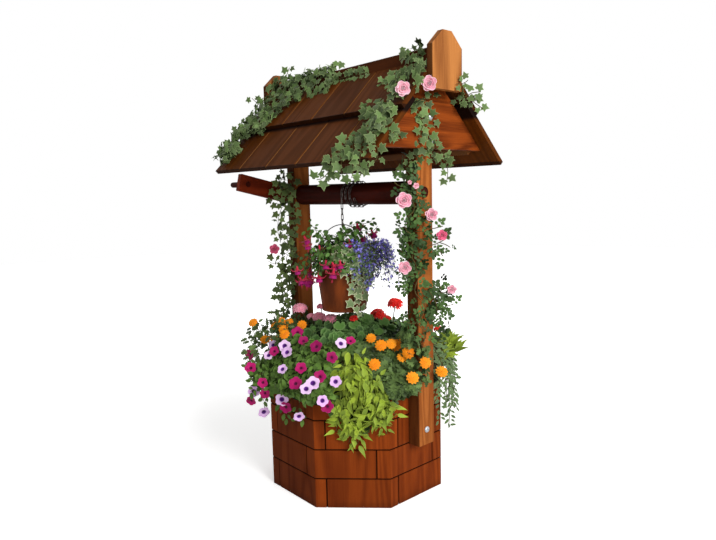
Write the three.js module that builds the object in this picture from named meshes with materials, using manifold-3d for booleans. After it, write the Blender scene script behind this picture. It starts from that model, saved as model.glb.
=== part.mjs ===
// Wishing well planter: an octagonal planted base, two posts, a windlass with a chain and a planted bucket,
// and a boarded gable roof with climbers on it.
// Millimetres and degrees, +Z up. The ridge and the windlass run along X, and the origin is the middle of
// the underside.

import * as THREE from "three";
import { mergeVertices } from "three/addons/utils/BufferGeometryUtils.js";
import Module from "manifold-3d";

const wasm = await Module();
wasm.setup();

// Clearances
const fitGap = 0.3; // between pieces that touch
const turnGap = 0.4; // round a journal that turns
const cutOver = 5; // how far a cutter runs past the face that it cuts
const seatGap = 0.8; // between the chain's turns and its first hanging link

// Base
const sideCount = 8;
const baseAcrossFlats = 564;
const panelThickness = 22;
const rowHeight = 93.5;
const rowCount = 4;
const grooveWidth = 6;
const grooveDepth = 4;
const oddJointShare = 0.15; // place of a row's upright joint along the face, from its left
const evenJointShare = 0.82;
const floorThickness = 18;
const drainRadius = 8;
const drainCount = 6;
const drainRingShare = 0.55;
const linerWall = 2;
const linerRimDrop = 12;
const soilRimDrop = 34;

// Posts
const postWidth = 70;
const postThickness = 45;
const postFoot = 186; // height of a post's lower end
const arris = 2; // small chamfer on sawn timber

// Bolts, the same thread everywhere
const boltRadius = 4;
const boltHeadRadius = 10;
const boltHeadHeight = 5;
const nutRadius = 7.5;
const nutHeight = 6;
const washerRadius = 9;
const washerThickness = 1.6;
const boltTail = 2; // thread that stands past the nut
const baseBoltRise = 48; // above the post's foot
const gableBoltRise = 21; // the lower one, above the gable board's foot
const gableBoltPitch = 70;

// Windlass
const rollerRadius = 35.5;
const journalRadius = 16.5;
const rollerEndGap = 2.5;
const armWidth = 61;
const armThickness = 20;
const armReach = 222; // from the axis to the arm's end
const armBack = 38; // the arm behind the axis
const armSideGap = 6; // between the gable board's face and the arm
const armLiftAngle = 13; // degrees above level, at rest
const handleRadius = 10;
const handleInset = 34; // from the arm's end
const handleLength = 90;
const screwHeadRadius = 11;
const screwHeadHeight = 5;
const screwRadius = 4;
const screwLength = 60;

// Chain
const linkWire = 2.8;
const linkLength = 24;
const linkWidth = 9.6;
const linkCount = 5;
const turnTube = 9; // outer diameter of the wound chain
const turnCount = 3;
const turnPitch = 21;
const chainX = -8;

// Bucket
const bucketTurnAngle = 20; // degrees, from X to the line of its ears
const bucketRimRadius = 93;
const bucketFootRadius = 74;
const bucketClear = 31; // above the plants in the base
const bucketHeight = 150;
const bucketWall = 1.5;
const rimRoll = 3;
const footBead = 2;
const bucketSoilDrop = 20;
const bailWire = 3.2;
const bailEndLength = 12; // turned in through each ear
const bailBend = 6;
const bailHeight = 131.9; // its top above the ears' holes
const earWidth = 22;
const earHeight = 40;
const earThickness = 2.5;
const earHoleGap = 0.5; // round the bail wire in an ear
const earRise = 5; // the hole's middle above the rim

// Roof
const roofPitchAngle = 45;
const roofOverhang = 45.7; // past the gable boards' outer faces
const roofBoard = 14;
const eaveRun = 290; // half the roof's span
const lowerTopRun = 120;
const upperEdgeRun = 155;
const boardCount = 5;
const boardVee = 4;
const staggerShare = 0.5; // the upper course's joints, in boards along from the lower one's
const battenSize = 30;
const lowerBattenRun = 225;
const upperBattenRun = 85;
const gableThickness = 25;
const axleDrop = 126; // from the gable board's foot to the windlass
const gableDepth = 254; // from the lower courses' meeting line to the gable board's foot
const ridgeWidth = 60;
const ridgeDepth = 70;
const ridgeRise = 24; // above the lower courses' meeting line
const finialWidth = 127;
const finialThickness = 19;
const finialLength = 161;
const finialPoint = 43; // height of its cut corners
const finialRise = 41; // above the ridge
const finialFlat = 38; // width of the flat at its top

// Planting in the base
const bedInner = 172; // where the beds meet the middle clump
const bedGap = 1.2; // between neighbouring clumps
const bedStepAngle = 7.5; // degrees
const limeStartAngle = -60; // degrees from +X, where each bed starts
const rightMarigoldStartAngle = -22.5;
const vineStartAngle = 7.5;
const backPetuniaStartAngle = 60;
const leftMarigoldStartAngle = 165;
const frontPetuniaStartAngle = 202.5;
const clumpHeight = 208; // the middle clump above the soil
const clumpShoulderDrop = 24;
const clumpShoulderRadius = 100;
const bedHeight = 150; // a bed's crown above the soil
const bedShoulderDrop = 45;
const bedBulgeDrop = 105;
const bedCrownRadius = 215;
const bedShoulderRadius = 270;
const bedSwell = 58; // how far the flowers stand out past the panels
const bedHang = 52; // how far they hang below the rim
const limeHang = 128;
const vineHang = 112;
const leafWaveCount = 16;
const clumpWaveCount = 7;
const bucketWaveCount = 9;
const leafWaveShare = 0.035;

// Planting in the bucket
const bucketBulge = 140;
const bucketBulgeRise = 30;
const bucketBulgeShare = 0.22; // the trailing side's extra reach
const bucketBulgeAngle = 29; // degrees from the ears' line to the trailing side
const bucketPlantRise = 118; // above the rim
const bucketPlantCore = 14; // open middle under the bail's top
const bucketHang = 58;
const ivyHang = 84; // the ivy's extra length
const ivyAngle = -52; // degrees from the ears' line to the ivy
const ivySpreadShare = 1.6; // the ivy's narrowness, against a spread over half a turn
const ivySwell = 15; // thickness of the trailing ends
const bailSlotAngle = 10; // room for the bail on each side, in degrees
const bailSlotHalf = 4;

// Climbers
const matThickness = 32;
const postMatDepth = 46;
const rosePatchDepth = 30;
const roseFootRise = 146; // above the base's rim
const roseTopDrop = 13; // below the gable board's foot
const postIvyFootRise = 186;
const postIvyTopDrop = 43;
const matWave = 7;
const wrapDepth = 12; // ivy that turns over the end of the roof
const wrapFootRise = 70; // above the gable board's foot
const wrapHeight = 158;
const gableIvyDrop = 66; // below the gable board's foot
const ridgeMatSpread = 60; // from the ridge's middle to its edge on the roof
const ridgeMatReach = 78; // to its lowest edge
const ridgeMatShoulder = 36;
const roseFaceReach = 12; // past the post's middle, higher up

// Worked out from the sizes above
const degree = Math.PI / 180;
const apothem = baseAcrossFlats / 2;
const halfSideTurn = Math.PI / sideCount;
const innerApothem = apothem - panelThickness;
const rimHeight = rowHeight * rowCount;
const soilTop = rimHeight - soilRimDrop;
const boltBack = washerThickness + nutHeight + boltTail + fitGap * 2;
const linerApothem = innerApothem - boltBack;
const postOuter = apothem + postThickness;
const gableInner = postOuter + fitGap;
const gableOuter = gableInner + gableThickness;
const roofEnd = gableOuter + roofOverhang;
const roofLength = roofEnd * 2;
const slope = roofPitchAngle * degree;
const boardDrop = roofBoard / Math.cos(slope);
const armInner = gableOuter + armSideGap;
const armOuter = armInner + armThickness;
const handleReach = armReach - handleInset;
const turnRadius = rollerRadius + turnTube / 2 + fitGap;
const chainY = -turnRadius;
const linkPitch = linkLength - linkWire * 2 - fitGap;

// Heights, from the ground up
const bucketFoot = soilTop + clumpHeight + bucketClear;
const bucketRim = bucketFoot + bucketHeight;
const earHeightAt = bucketRim + earRise;
const bailTop = earHeightAt + bailHeight;
const chainFoot = bailTop - bailWire / 2 - fitGap - linkWire;
const chainTop = chainFoot + linkPitch * (linkCount - 1) + linkLength;
const axleHeight = chainTop + seatGap + turnTube;
const gableFoot = axleHeight + axleDrop;
const peakHeight = gableFoot + gableDepth;
const ridgeTop = peakHeight + ridgeRise;
const ridgeFoot = ridgeTop - ridgeDepth;
const finialTop = ridgeTop + finialRise;
const finialFoot = finialTop - finialLength;
const baseBoltHeight = postFoot + baseBoltRise;
const gableBoltHeights = [gableFoot + gableBoltRise, gableFoot + gableBoltRise + gableBoltPitch];

// Materials
const stain = (name, color, roughness = 0.6) => {
  const material = new THREE.MeshStandardMaterial({ color, roughness, metalness: 0 });
  material.name = name;
  return material;
};
const metal = (name, color, roughness = 0.4) => {
  const material = stain(name, color, roughness);
  material.metalness = 1;
  return material;
};
const panelWood = stain("panel_wood", 0x7a3c1c);
const postWood = stain("post_wood", 0xa85a2a);
const roofWood = stain("roof_wood", 0x5a3418);
const gableWood = stain("gable_wood", 0xa04a1a);
const rollerWood = stain("roller_wood", 0x4a1c0e);
const hiddenWood = stain("hidden_wood", 0x7a5030);
const zinc = metal("zinc", 0xc8c8cc);
const chainSteel = metal("chain_steel", 0x55555a);
const copper = metal("aged_copper", 0x7a4020, 0.5);
const liner = stain("liner", 0x202020, 0.8);
const soil = stain("soil", 0x2e2018, 0.95);
const leaf = stain("leaf", 0x3c6a2c, 0.7);
const lime = stain("lime_leaf", 0xa8c83c, 0.7);
const magenta = stain("petunia", 0xb02870, 0.7);
const orange = stain("marigold", 0xf08a1c, 0.7);
const blue = stain("lobelia", 0x4a48a0, 0.7);
const rose = stain("rose", 0xe89ab0, 0.7);

// A closed solid for joining and cutting
function toSolid(geometry) {
  const bare = geometry.index ? geometry.toNonIndexed() : geometry.clone();
  bare.deleteAttribute("normal");
  bare.deleteAttribute("uv");
  const merged = mergeVertices(bare);
  const vertProperties = new Float32Array(merged.attributes.position.array);
  const triVerts = new Uint32Array(merged.index.array);
  return new wasm.Manifold(new wasm.Mesh({ numProp: 3, vertProperties, triVerts }));
}

// The drawn form of a solid, with flat faces
function toGeometry(solid) {
  const found = solid.getMesh();
  const geometry = new THREE.BufferGeometry();
  geometry.setAttribute("position", new THREE.BufferAttribute(new Float32Array(found.vertProperties), 3));
  geometry.setIndex(new THREE.BufferAttribute(new Uint32Array(found.triVerts), 1));
  return flat(geometry);
}

function flat(geometry) {
  const loose = geometry.index ? geometry.toNonIndexed() : geometry.clone();
  if (loose.getAttribute("uv")) loose.deleteAttribute("uv");
  loose.computeVertexNormals();
  return loose;
}

function cut(geometry, tools) {
  let solid = toSolid(geometry);
  for (const tool of tools) solid = solid.subtract(toSolid(tool));
  return toGeometry(solid);
}

function join(geometries) {
  const [first, ...rest] = geometries.map(toSolid);
  return toGeometry(rest.reduce((whole, piece) => whole.add(piece), first));
}

// Turns a closed surface's faces outwards
function facesOut(geometry) {
  const loose = flat(geometry);
  const place = loose.getAttribute("position");
  const [a, b, c] = [new THREE.Vector3(), new THREE.Vector3(), new THREE.Vector3()];
  let volume = 0;
  for (let i = 0; i < place.count; i += 3) {
    a.fromBufferAttribute(place, i);
    b.fromBufferAttribute(place, i + 1);
    c.fromBufferAttribute(place, i + 2);
    volume += a.dot(b.cross(c));
  }
  if (volume >= 0) return loose;
  for (let i = 0; i < place.count; i += 3) {
    b.fromBufferAttribute(place, i + 1);
    c.fromBufferAttribute(place, i + 2);
    place.setXYZ(i + 1, c.x, c.y, c.z);
    place.setXYZ(i + 2, b.x, b.y, b.z);
  }
  return flat(loose);
}

// An outline of [x, y] points made as deep as asked along +Z
function prism(outline, depth) {
  const shape = new THREE.Shape(outline.map(([x, y]) => new THREE.Vector2(x, y)));
  return new THREE.ExtrudeGeometry(shape, { depth, bevelEnabled: false, curveSegments: 6 });
}

// The same, with the outline's x and y along Y and Z, and its depth along X
function prismAlongX(outline, start, end) {
  const geometry = prism(outline, end - start);
  const basis = new THREE.Matrix4().makeBasis(
    new THREE.Vector3(0, 1, 0),
    new THREE.Vector3(0, 0, 1),
    new THREE.Vector3(1, 0, 0),
  );
  return geometry.applyMatrix4(basis).translate(start, 0, 0);
}

// A box between two corners
function block([x0, y0, z0], [x1, y1, z1]) {
  const geometry = new THREE.BoxGeometry(x1 - x0, y1 - y0, z1 - z0);
  return geometry.translate((x0 + x1) / 2, (y0 + y1) / 2, (z0 + z1) / 2);
}

// The corners of a sawn section with small chamfers, middle on the origin
function sawnSection(width, height) {
  const [x, y] = [width / 2, height / 2];
  return [
    [x - arris, -y], [x, arris - y], [x, y - arris], [x - arris, y],
    [arris - x, y], [-x, y - arris], [-x, arris - y], [arris - x, -y],
  ];
}

// A round bar along X
function barAlongX(radius, start, end, sides = 16) {
  const bar = new THREE.CylinderGeometry(radius, radius, end - start, sides);
  return bar.rotateZ(-Math.PI / 2).translate((start + end) / 2, 0, 0);
}

// A hole whose flats stay clear of a round bar of the given radius
const holeRadius = (radius, gap, sides) => (radius + gap) / Math.cos(Math.PI / sides);

// A turned solid along Z from [radius, height] points
function turned(points, sides) {
  const lathe = new THREE.LatheGeometry(points.map(([r, h]) => new THREE.Vector2(r, h)), sides);
  return facesOut(mergeVertices(lathe.rotateX(Math.PI / 2)));
}

// A round tube along a curve
function tube(path, diameter, sides, steps) {
  const ring = [];
  for (let i = 0; i < sides; i++) {
    const turn = (i / sides) * Math.PI * 2;
    ring.push(new THREE.Vector2((Math.cos(turn) * diameter) / 2, (Math.sin(turn) * diameter) / 2));
  }
  const shape = new THREE.Shape(ring);
  return facesOut(new THREE.ExtrudeGeometry(shape, { steps, extrudePath: path, bevelEnabled: false }));
}

// The corners of a regular outline whose first face looks along +X, by the distance to its faces
function regularOutline(faceDistance, count, turn = 0) {
  const outline = [];
  for (let i = 0; i < count; i++) {
    const angle = turn + ((i + 0.5) * Math.PI * 2) / count;
    const radius = faceDistance / Math.cos(Math.PI / count);
    outline.push([Math.cos(angle) * radius, Math.sin(angle) * radius]);
  }
  return outline;
}

const planter = new THREE.Group();

function add(name, geometry, material, parent = planter) {
  const mesh = new THREE.Mesh(geometry, material);
  mesh.name = name;
  parent.add(mesh);
  return mesh;
}

// Base panels: mitred boards with V grooves cut as a brick pattern
const panelHalf = apothem * Math.tan(halfSideTurn);

function panelBoard() {
  const mitre = fitGap / 2 / Math.cos(halfSideTurn);
  const innerHalf = innerApothem * Math.tan(halfSideTurn);
  return prism(
    [
      [innerApothem, mitre - innerHalf],
      [apothem, mitre - panelHalf],
      [apothem, panelHalf - mitre],
      [innerApothem, innerHalf - mitre],
    ],
    rimHeight,
  );
}

function grooveSection() {
  return [[-grooveDepth, 0], [0, -grooveWidth / 2], [grooveDepth, 0], [0, grooveWidth / 2]];
}

function panelGrooves() {
  const grooves = [];
  for (let row = 1; row < rowCount; row++) {
    const level = prism(grooveSection(), panelHalf * 2 + cutOver * 2);
    level.rotateX(Math.PI / 2);
    grooves.push(level.translate(apothem, panelHalf + cutOver, row * rowHeight));
  }
  for (let row = 0; row < rowCount; row++) {
    const share = row % 2 ? evenJointShare : oddJointShare;
    const over = row === 0 || row === rowCount - 1 ? cutOver : 0;
    const low = row === 0 ? -over : 0;
    const upright = prism(grooveSection(), rowHeight + over);
    grooves.push(upright.translate(apothem, panelHalf * (share * 2 - 1), row * rowHeight + low));
  }
  return grooves;
}

const boltHole = (height, from, to) =>
  barAlongX(holeRadius(boltRadius, fitGap, 12), from - cutOver, to + cutOver, 12).translate(0, 0, height);

for (let i = 0; i < sideCount; i++) {
  const carriesPost = i % (sideCount / 2) === 0;
  const holes = carriesPost ? [boltHole(baseBoltHeight, innerApothem, apothem)] : [];
  const panel = add(`base_panel_${i + 1}`, cut(panelBoard(), [...panelGrooves(), ...holes]), panelWood);
  panel.rotation.z = i * halfSideTurn * 2;
}

// Floor with drain holes
const drains = [];
for (let i = 0; i < drainCount; i++) {
  const turn = (i / drainCount) * Math.PI * 2;
  const hole = prism(regularOutline(drainRadius, sideCount), floorThickness + cutOver * 2);
  const reach = innerApothem * drainRingShare;
  drains.push(hole.translate(Math.cos(turn) * reach, Math.sin(turn) * reach, -cutOver));
}
const floorBoard = prism(regularOutline(innerApothem - fitGap, sideCount), floorThickness);
add("base_floor", cut(floorBoard, drains), hiddenWood);

// Liner and soil
function tubForm(inset, low, high) {
  return prism(regularOutline(linerApothem - inset, sideCount), high - low).translate(0, 0, low);
}
const linerFoot = floorThickness + fitGap;
const linerTop = rimHeight - linerRimDrop;
const linerInside = tubForm(linerWall, linerFoot + linerWall, linerTop + cutOver);
add("planter_liner", cut(tubForm(0, linerFoot, linerTop), [linerInside]), liner);
add("potting_soil", tubForm(linerWall + fitGap, linerFoot + linerWall + fitGap, soilTop), soil);

// Posts, with holes for the bolts and the windlass
function post() {
  const timber = prism(sawnSection(postThickness - fitGap, postWidth), ridgeFoot - fitGap - postFoot);
  timber.translate(apothem + fitGap / 2 + postThickness / 2, 0, postFoot);
  const holes = [baseBoltHeight, ...gableBoltHeights].map((height) => boltHole(height, apothem, postOuter));
  const bore = barAlongX(holeRadius(journalRadius, turnGap, 24), apothem - cutOver, postOuter + cutOver, 24);
  return cut(timber, [...holes, bore.translate(0, 0, axleHeight)]);
}
add("right_post", post(), postWood);
add("left_post", post().rotateZ(Math.PI), postWood);

// Coach bolts along X: a domed head on the outer face, a shank, and a washer and nut on the inner face
function coachBolt(height, outerFace, innerFace) {
  const dome = [[0, 0], [boltHeadRadius, 0], [boltHeadRadius * 0.9, boltHeadHeight * 0.45]];
  dome.push([boltHeadRadius * 0.5, boltHeadHeight * 0.9], [0, boltHeadHeight]);
  const head = turned(dome, 12).rotateY(Math.PI / 2).translate(outerFace + fitGap, 0, 0);
  const washerFace = innerFace - fitGap;
  const nutFace = washerFace - washerThickness;
  const tailEnd = nutFace - nutHeight - boltTail;
  const shank = barAlongX(boltRadius, tailEnd, outerFace + fitGap + boltHeadHeight / 2, 10);
  const washer = barAlongX(washerRadius, nutFace, washerFace, 12);
  const nut = barAlongX(nutRadius, nutFace - nutHeight, nutFace, 6);
  return join([head, shank, washer, nut]).translate(0, 0, height);
}
for (const [side, turn] of [["right", 0], ["left", Math.PI]]) {
  add(`base_bolt_${side}`, coachBolt(baseBoltHeight, postOuter, innerApothem).rotateZ(turn), zinc);
  gableBoltHeights.forEach((height, i) => {
    const bolt = coachBolt(height, gableOuter, apothem + fitGap / 2);
    add(`gable_bolt_${side}_${i + 1}`, bolt.rotateZ(turn), zinc);
  });
}

// Windlass: everything that turns with the crank
const windlass = new THREE.Group();
windlass.position.z = axleHeight;
windlass.rotation.x = -armLiftAngle * degree;
planter.add(windlass);

const barrelEnd = apothem - rollerEndGap;
const rollerProfile = [
  [0, -armOuter],
  [journalRadius, -armOuter],
  [journalRadius, -barrelEnd],
  [rollerRadius, -barrelEnd],
  [rollerRadius, barrelEnd],
  [journalRadius, barrelEnd],
  [journalRadius, postOuter],
  [0, postOuter],
];
const roller = turned(rollerProfile, 24).rotateY(Math.PI / 2);
const screwPilot = barAlongX(
  holeRadius(screwRadius, fitGap, 10),
  -armOuter - cutOver,
  -armOuter + screwLength + fitGap,
  10,
);
add("windlass_roller", cut(roller, [screwPilot]), rollerWood, windlass);

// Crank: a flat board on the journal, a dowel handle and a screw into the journal's end
function crankArm() {
  const middle = (armBack - armReach) / 2;
  const section = sawnSection(armReach + armBack, armWidth);
  const board = prismAlongX(section, -armOuter, -armInner).translate(0, middle, 0);
  const bore = barAlongX(holeRadius(journalRadius, fitGap, 24), -armOuter - cutOver, cutOver - armInner, 24);
  const socket = barAlongX(holeRadius(handleRadius, fitGap, 16), -armOuter - cutOver, cutOver - armInner, 16);
  return cut(board, [bore, socket.translate(0, -handleReach, 0)]);
}
add("crank_arm", crankArm(), rollerWood, windlass);

const handleProfile = [
  [0, -armOuter - handleLength],
  [handleRadius - arris, -armOuter - handleLength],
  [handleRadius, -armOuter - handleLength + arris],
  [handleRadius, -armInner],
  [0, -armInner],
];
const handle = turned(handleProfile, 16).rotateY(Math.PI / 2);
add("crank_handle", handle.translate(0, -handleReach, 0), rollerWood, windlass);

const screwProfile = [
  [0, screwLength],
  [screwRadius, screwLength],
  [screwRadius, -fitGap],
  [screwHeadRadius, -fitGap],
  [screwHeadRadius * 0.8, -fitGap - screwHeadHeight],
  [0, -fitGap - screwHeadHeight],
];
const crankScrew = turned(screwProfile, 10).rotateY(Math.PI / 2);
add("crank_screw", crankScrew.translate(-armOuter, 0, 0), zinc, windlass);

// Wound chain: turns on the roller, with a straight end of one tube diameter where it leaves
class Winding extends THREE.Curve {
  getPoint(t) {
    const turnLength = Math.hypot(turnRadius * Math.PI * 2, turnPitch) * turnCount;
    const along = t * (turnLength + turnTube) - turnTube;
    if (along < 0) return new THREE.Vector3(chainX, -turnRadius, along);
    const angle = (along / turnLength) * turnCount * Math.PI * 2;
    const x = chainX + (turnPitch * Math.max(angle - Math.PI / 4, 0)) / (Math.PI * 2);
    return new THREE.Vector3(x, -turnRadius * Math.cos(angle), turnRadius * Math.sin(angle));
  }
}
const winding = new Winding();
const windingSteps = 24 * turnCount;
const wound = new THREE.Group();
wound.position.z = axleHeight;
planter.add(wound);
add("wound_chain", tube(winding, turnTube, 6, windingSteps), chainSteel, wound);

// The least gap between two turns, measured on points of the middle line
let leastGap = Infinity;
const gapPoints = winding.getPoints(windingSteps * 4);
for (let i = 0; i < gapPoints.length; i++) {
  for (let j = i + windingSteps; j < gapPoints.length; j++) {
    leastGap = Math.min(leastGap, gapPoints[i].distanceTo(gapPoints[j]) - turnTube);
  }
}
console.log(`least gap between turns of the wound chain: ${leastGap.toFixed(2)} mm`);

// Hanging chain: oval links, each turned a quarter from the last
class Link extends THREE.Curve {
  getPoint(t) {
    const bend = (linkWidth - linkWire) / 2;
    const straight = linkLength - linkWidth;
    const arc = Math.PI * bend;
    let along = (t % 1) * (straight + arc) * 2;
    if (along < straight) return new THREE.Vector3(bend, 0, along - straight / 2);
    along -= straight;
    if (along < arc) {
      const turn = along / bend;
      return new THREE.Vector3(Math.cos(turn) * bend, 0, straight / 2 + Math.sin(turn) * bend);
    }
    along -= arc;
    if (along < straight) return new THREE.Vector3(-bend, 0, straight / 2 - along);
    const turn = (along - straight) / bend;
    return new THREE.Vector3(-Math.cos(turn) * bend, 0, -straight / 2 - Math.sin(turn) * bend);
  }
}

// A closed ring of tube, made as rings of points joined all round
function closedTube(path, diameter, sides, steps, planeNormal) {
  const points = [];
  for (let i = 0; i < steps; i++) {
    const middle = path.getPoint(i / steps);
    const ahead = path.getPoint((i + 0.01) / steps).sub(middle).normalize();
    const out = new THREE.Vector3().crossVectors(ahead, planeNormal);
    for (let k = 0; k < sides; k++) {
      const turn = (k / sides) * Math.PI * 2;
      const point = middle.clone().addScaledVector(out, (Math.cos(turn) * diameter) / 2);
      points.push(point.addScaledVector(planeNormal, (Math.sin(turn) * diameter) / 2));
    }
  }
  return skin(points, sides, steps, true);
}

// Joins rings of points into a closed surface, either end to end or with a fan on each end
function skin(points, sides, rings, loops) {
  const faces = [];
  const last = loops ? rings : rings - 1;
  for (let i = 0; i < last; i++) {
    for (let k = 0; k < sides; k++) {
      const a = i * sides + k;
      const b = i * sides + ((k + 1) % sides);
      const c = ((i + 1) % rings) * sides + k;
      const d = ((i + 1) % rings) * sides + ((k + 1) % sides);
      faces.push(a, b, d, a, d, c);
    }
  }
  if (!loops) {
    const end = (rings - 1) * sides;
    for (const face of THREE.ShapeUtils.triangulateShape(flatEnd(points.slice(0, sides)), [])) {
      faces.push(face[2], face[1], face[0]);
      faces.push(face[0] + end, face[1] + end, face[2] + end);
    }
  }
  const geometry = new THREE.BufferGeometry().setFromPoints(points);
  geometry.setIndex(faces);
  return facesOut(geometry);
}

// A ring of points in its own flat plane, for filling an end
function flatEnd(ring) {
  const normal = new THREE.Vector3();
  for (let i = 0; i < ring.length; i++) {
    normal.add(new THREE.Vector3().crossVectors(ring[i], ring[(i + 1) % ring.length]));
  }
  normal.normalize();
  const across = new THREE.Vector3().subVectors(ring[1], ring[0]).normalize();
  const up = new THREE.Vector3().crossVectors(normal, across);
  return ring.map((point) => new THREE.Vector2(point.dot(across), point.dot(up)));
}

for (let i = 0; i < linkCount; i++) {
  const shape = closedTube(new Link(), linkWire, 6, 20, new THREE.Vector3(0, 1, 0));
  const link = add(`chain_link_${i + 1}`, shape, chainSteel);
  const quarter = (linkCount - 1 - i) % 2 ? 0 : 1;
  link.rotation.z = (quarter * Math.PI) / 2 + bucketTurnAngle * degree;
  link.position.set(chainX, chainY, chainTop - linkLength / 2 - i * linkPitch);
}

// Bucket, in its own turned frame with its rim's middle line on the chain
const bucket = new THREE.Group();
bucket.position.set(chainX, chainY, 0);
bucket.rotation.z = bucketTurnAngle * degree;
planter.add(bucket);

const earX = bucketRimRadius + rimRoll + fitGap;
const bailX = earX + earThickness + bailBend;

function bailPath() {
  const points = [];
  for (let i = 0; i < 3; i++) points.push([bailX - bailEndLength + ((bailEndLength - bailBend) * i) / 3, 0]);
  for (let i = 0; i <= 4; i++) {
    const turn = (i / 4) * (Math.PI / 2);
    points.push([bailX - bailBend + Math.sin(turn) * bailBend, bailBend - Math.cos(turn) * bailBend]);
  }
  const rise = bailTop - earHeightAt - bailBend;
  for (let i = 1; i <= 10; i++) {
    const turn = (i / 10) * (Math.PI / 2);
    points.push([bailX * Math.cos(turn), bailBend + rise * Math.sin(turn)]);
  }
  const half = points.map(([x, z]) => new THREE.Vector3(x, 0, earHeightAt + z));
  const mirrored = half.slice(0, -1).reverse().map((point) => new THREE.Vector3(-point.x, 0, point.z));
  return new THREE.CatmullRomCurve3([...half, ...mirrored], false, "centripetal");
}
add("bucket_bail", tube(bailPath(), bailWire, 8, 60), chainSteel, bucket);

function ear() {
  const outline = sawnSection(earWidth, earHeight);
  const plate = prismAlongX(outline, earX, earX + earThickness);
  plate.translate(0, 0, earHeightAt + earWidth / 2 - earHeight / 2);
  const hole = barAlongX(bailWire / 2 + earHoleGap, earX - cutOver, earX + earThickness + cutOver, 12);
  return cut(plate, [hole.translate(0, 0, earHeightAt)]);
}
add("bucket_ear_1", ear(), chainSteel, bucket);
add("bucket_ear_2", ear().rotateZ(Math.PI), chainSteel, bucket);

const wallSlope = (bucketRimRadius - bucketFootRadius) / bucketHeight;
const shellProfile = [
  [0, bucketFoot],
  [bucketFootRadius, bucketFoot],
  [bucketFootRadius + footBead, bucketFoot + footBead],
  [bucketFootRadius + footBead, bucketFoot + footBead * 2],
  [bucketFootRadius + wallSlope * footBead * 3, bucketFoot + footBead * 3],
  [bucketRimRadius - wallSlope * rimRoll * 2, bucketRim - rimRoll * 2],
  [bucketRimRadius + rimRoll - wallSlope, bucketRim - rimRoll * 1.5],
  [bucketRimRadius + rimRoll, bucketRim - rimRoll / 2],
  [bucketRimRadius + rimRoll / 2, bucketRim],
  [bucketRimRadius - bucketWall, bucketRim],
  [bucketFootRadius - bucketWall, bucketFoot + bucketWall],
  [0, bucketFoot + bucketWall],
];
add("bucket_shell", turned(shellProfile, 32), copper, bucket);

const soilInset = bucketWall + fitGap * 2;
const bucketSoilTop = bucketRim - bucketSoilDrop;
const bucketSoilProfile = [
  [0, bucketFoot + bucketWall + fitGap],
  [bucketFootRadius - soilInset, bucketFoot + bucketWall + fitGap],
  [bucketRimRadius - soilInset - wallSlope * bucketSoilDrop, bucketSoilTop],
  [0, bucketSoilTop],
];
add("bucket_soil", turned(bucketSoilProfile, 32), soil, bucket);

// Roof slopes: a frame that lies in the outer plane of the lower course, +Y up the slope and +Z out of it
function slopeFrame(turn) {
  const whole = new THREE.Group();
  whole.rotation.z = turn;
  const plane = new THREE.Group();
  plane.position.z = peakHeight;
  plane.rotation.x = slope;
  whole.add(plane);
  planter.add(whole);
  return plane;
}
const frontSlope = slopeFrame(0);
const backSlope = slopeFrame(Math.PI);
const downSlope = (run) => run / Math.cos(slope);

// A course of boards from its upper to its lower run, with V joints, its outer face at the level
function boardCourse(joints, topRun, edgeRun, level) {
  const outline = [[-roofEnd, level - roofBoard], [roofEnd, level - roofBoard], [roofEnd, level]];
  for (const x of joints) outline.push([x + boardVee, level], [x, level - boardVee], [x - boardVee, level]);
  outline.push([-roofEnd, level]);
  const sheet = prism(outline, downSlope(edgeRun) - downSlope(topRun));
  return sheet.rotateX(Math.PI / 2).translate(0, -downSlope(topRun), 0);
}

// The ridge beam and what it needs round it, seen from the slope's frame
function ridgeRoom() {
  const half = ridgeWidth / 2 + fitGap;
  const room = block([-roofLength, -half, ridgeFoot - ridgeDepth], [roofLength, half, ridgeTop + ridgeDepth]);
  return room.translate(0, 0, -peakHeight).rotateX(-slope);
}

// Board joints from the right end to the left, the upper course's half a board along from the lower one's
function boardJoints(shiftShare) {
  const joints = [];
  for (let i = boardCount - 1; i + shiftShare > 0; i--) {
    joints.push(roofLength * ((i + shiftShare) / boardCount) - roofEnd);
  }
  return joints;
}
const upperLevel = roofBoard + fitGap;
const upperTopRun = ridgeWidth / 2 - roofBoard;
function batten(run, level) {
  const stick = prismAlongX(sawnSection(battenSize, battenSize), fitGap - gableInner, gableInner - fitGap);
  return stick.translate(0, -downSlope(run), level - battenSize / 2 - fitGap);
}
for (const [side, frame] of [["front", frontSlope], ["back", backSlope]]) {
  const upper = boardCourse(boardJoints(staggerShare), upperTopRun, upperEdgeRun, upperLevel);
  add(`${side}_lower_boards`, boardCourse(boardJoints(0), lowerTopRun, eaveRun, 0), roofWood, frame);
  add(`${side}_upper_boards`, cut(upper, [ridgeRoom()]), roofWood, frame);
  add(`${side}_eave_batten`, batten(lowerBattenRun, -roofBoard), hiddenWood, frame);
  add(`${side}_ridge_batten`, batten(upperBattenRun, fitGap), hiddenWood, frame);
}

// Gable boards
function gableOutline() {
  const under = peakHeight - boardDrop - fitGap * 2;
  const footHalf = (under - gableFoot) / Math.tan(slope);
  const top = ridgeFoot - fitGap;
  const topHalf = (under - top) / Math.tan(slope);
  return [[-footHalf, gableFoot], [footHalf, gableFoot], [topHalf, top], [-topHalf, top]];
}
const gableHoles = () => gableBoltHeights.map((height) => boltHole(height, gableInner, gableOuter));
const gable = () => cut(prismAlongX(gableOutline(), gableInner, gableOuter), gableHoles());
add("right_gable", gable(), gableWood);
add("left_gable", gable().rotateZ(Math.PI), gableWood);

// Ridge beam and finials
const ridge = prismAlongX(sawnSection(ridgeWidth, ridgeDepth), -roofEnd, roofEnd);
add("ridge_beam", ridge.translate(0, 0, ridgeTop - ridgeDepth / 2), roofWood);

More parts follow.
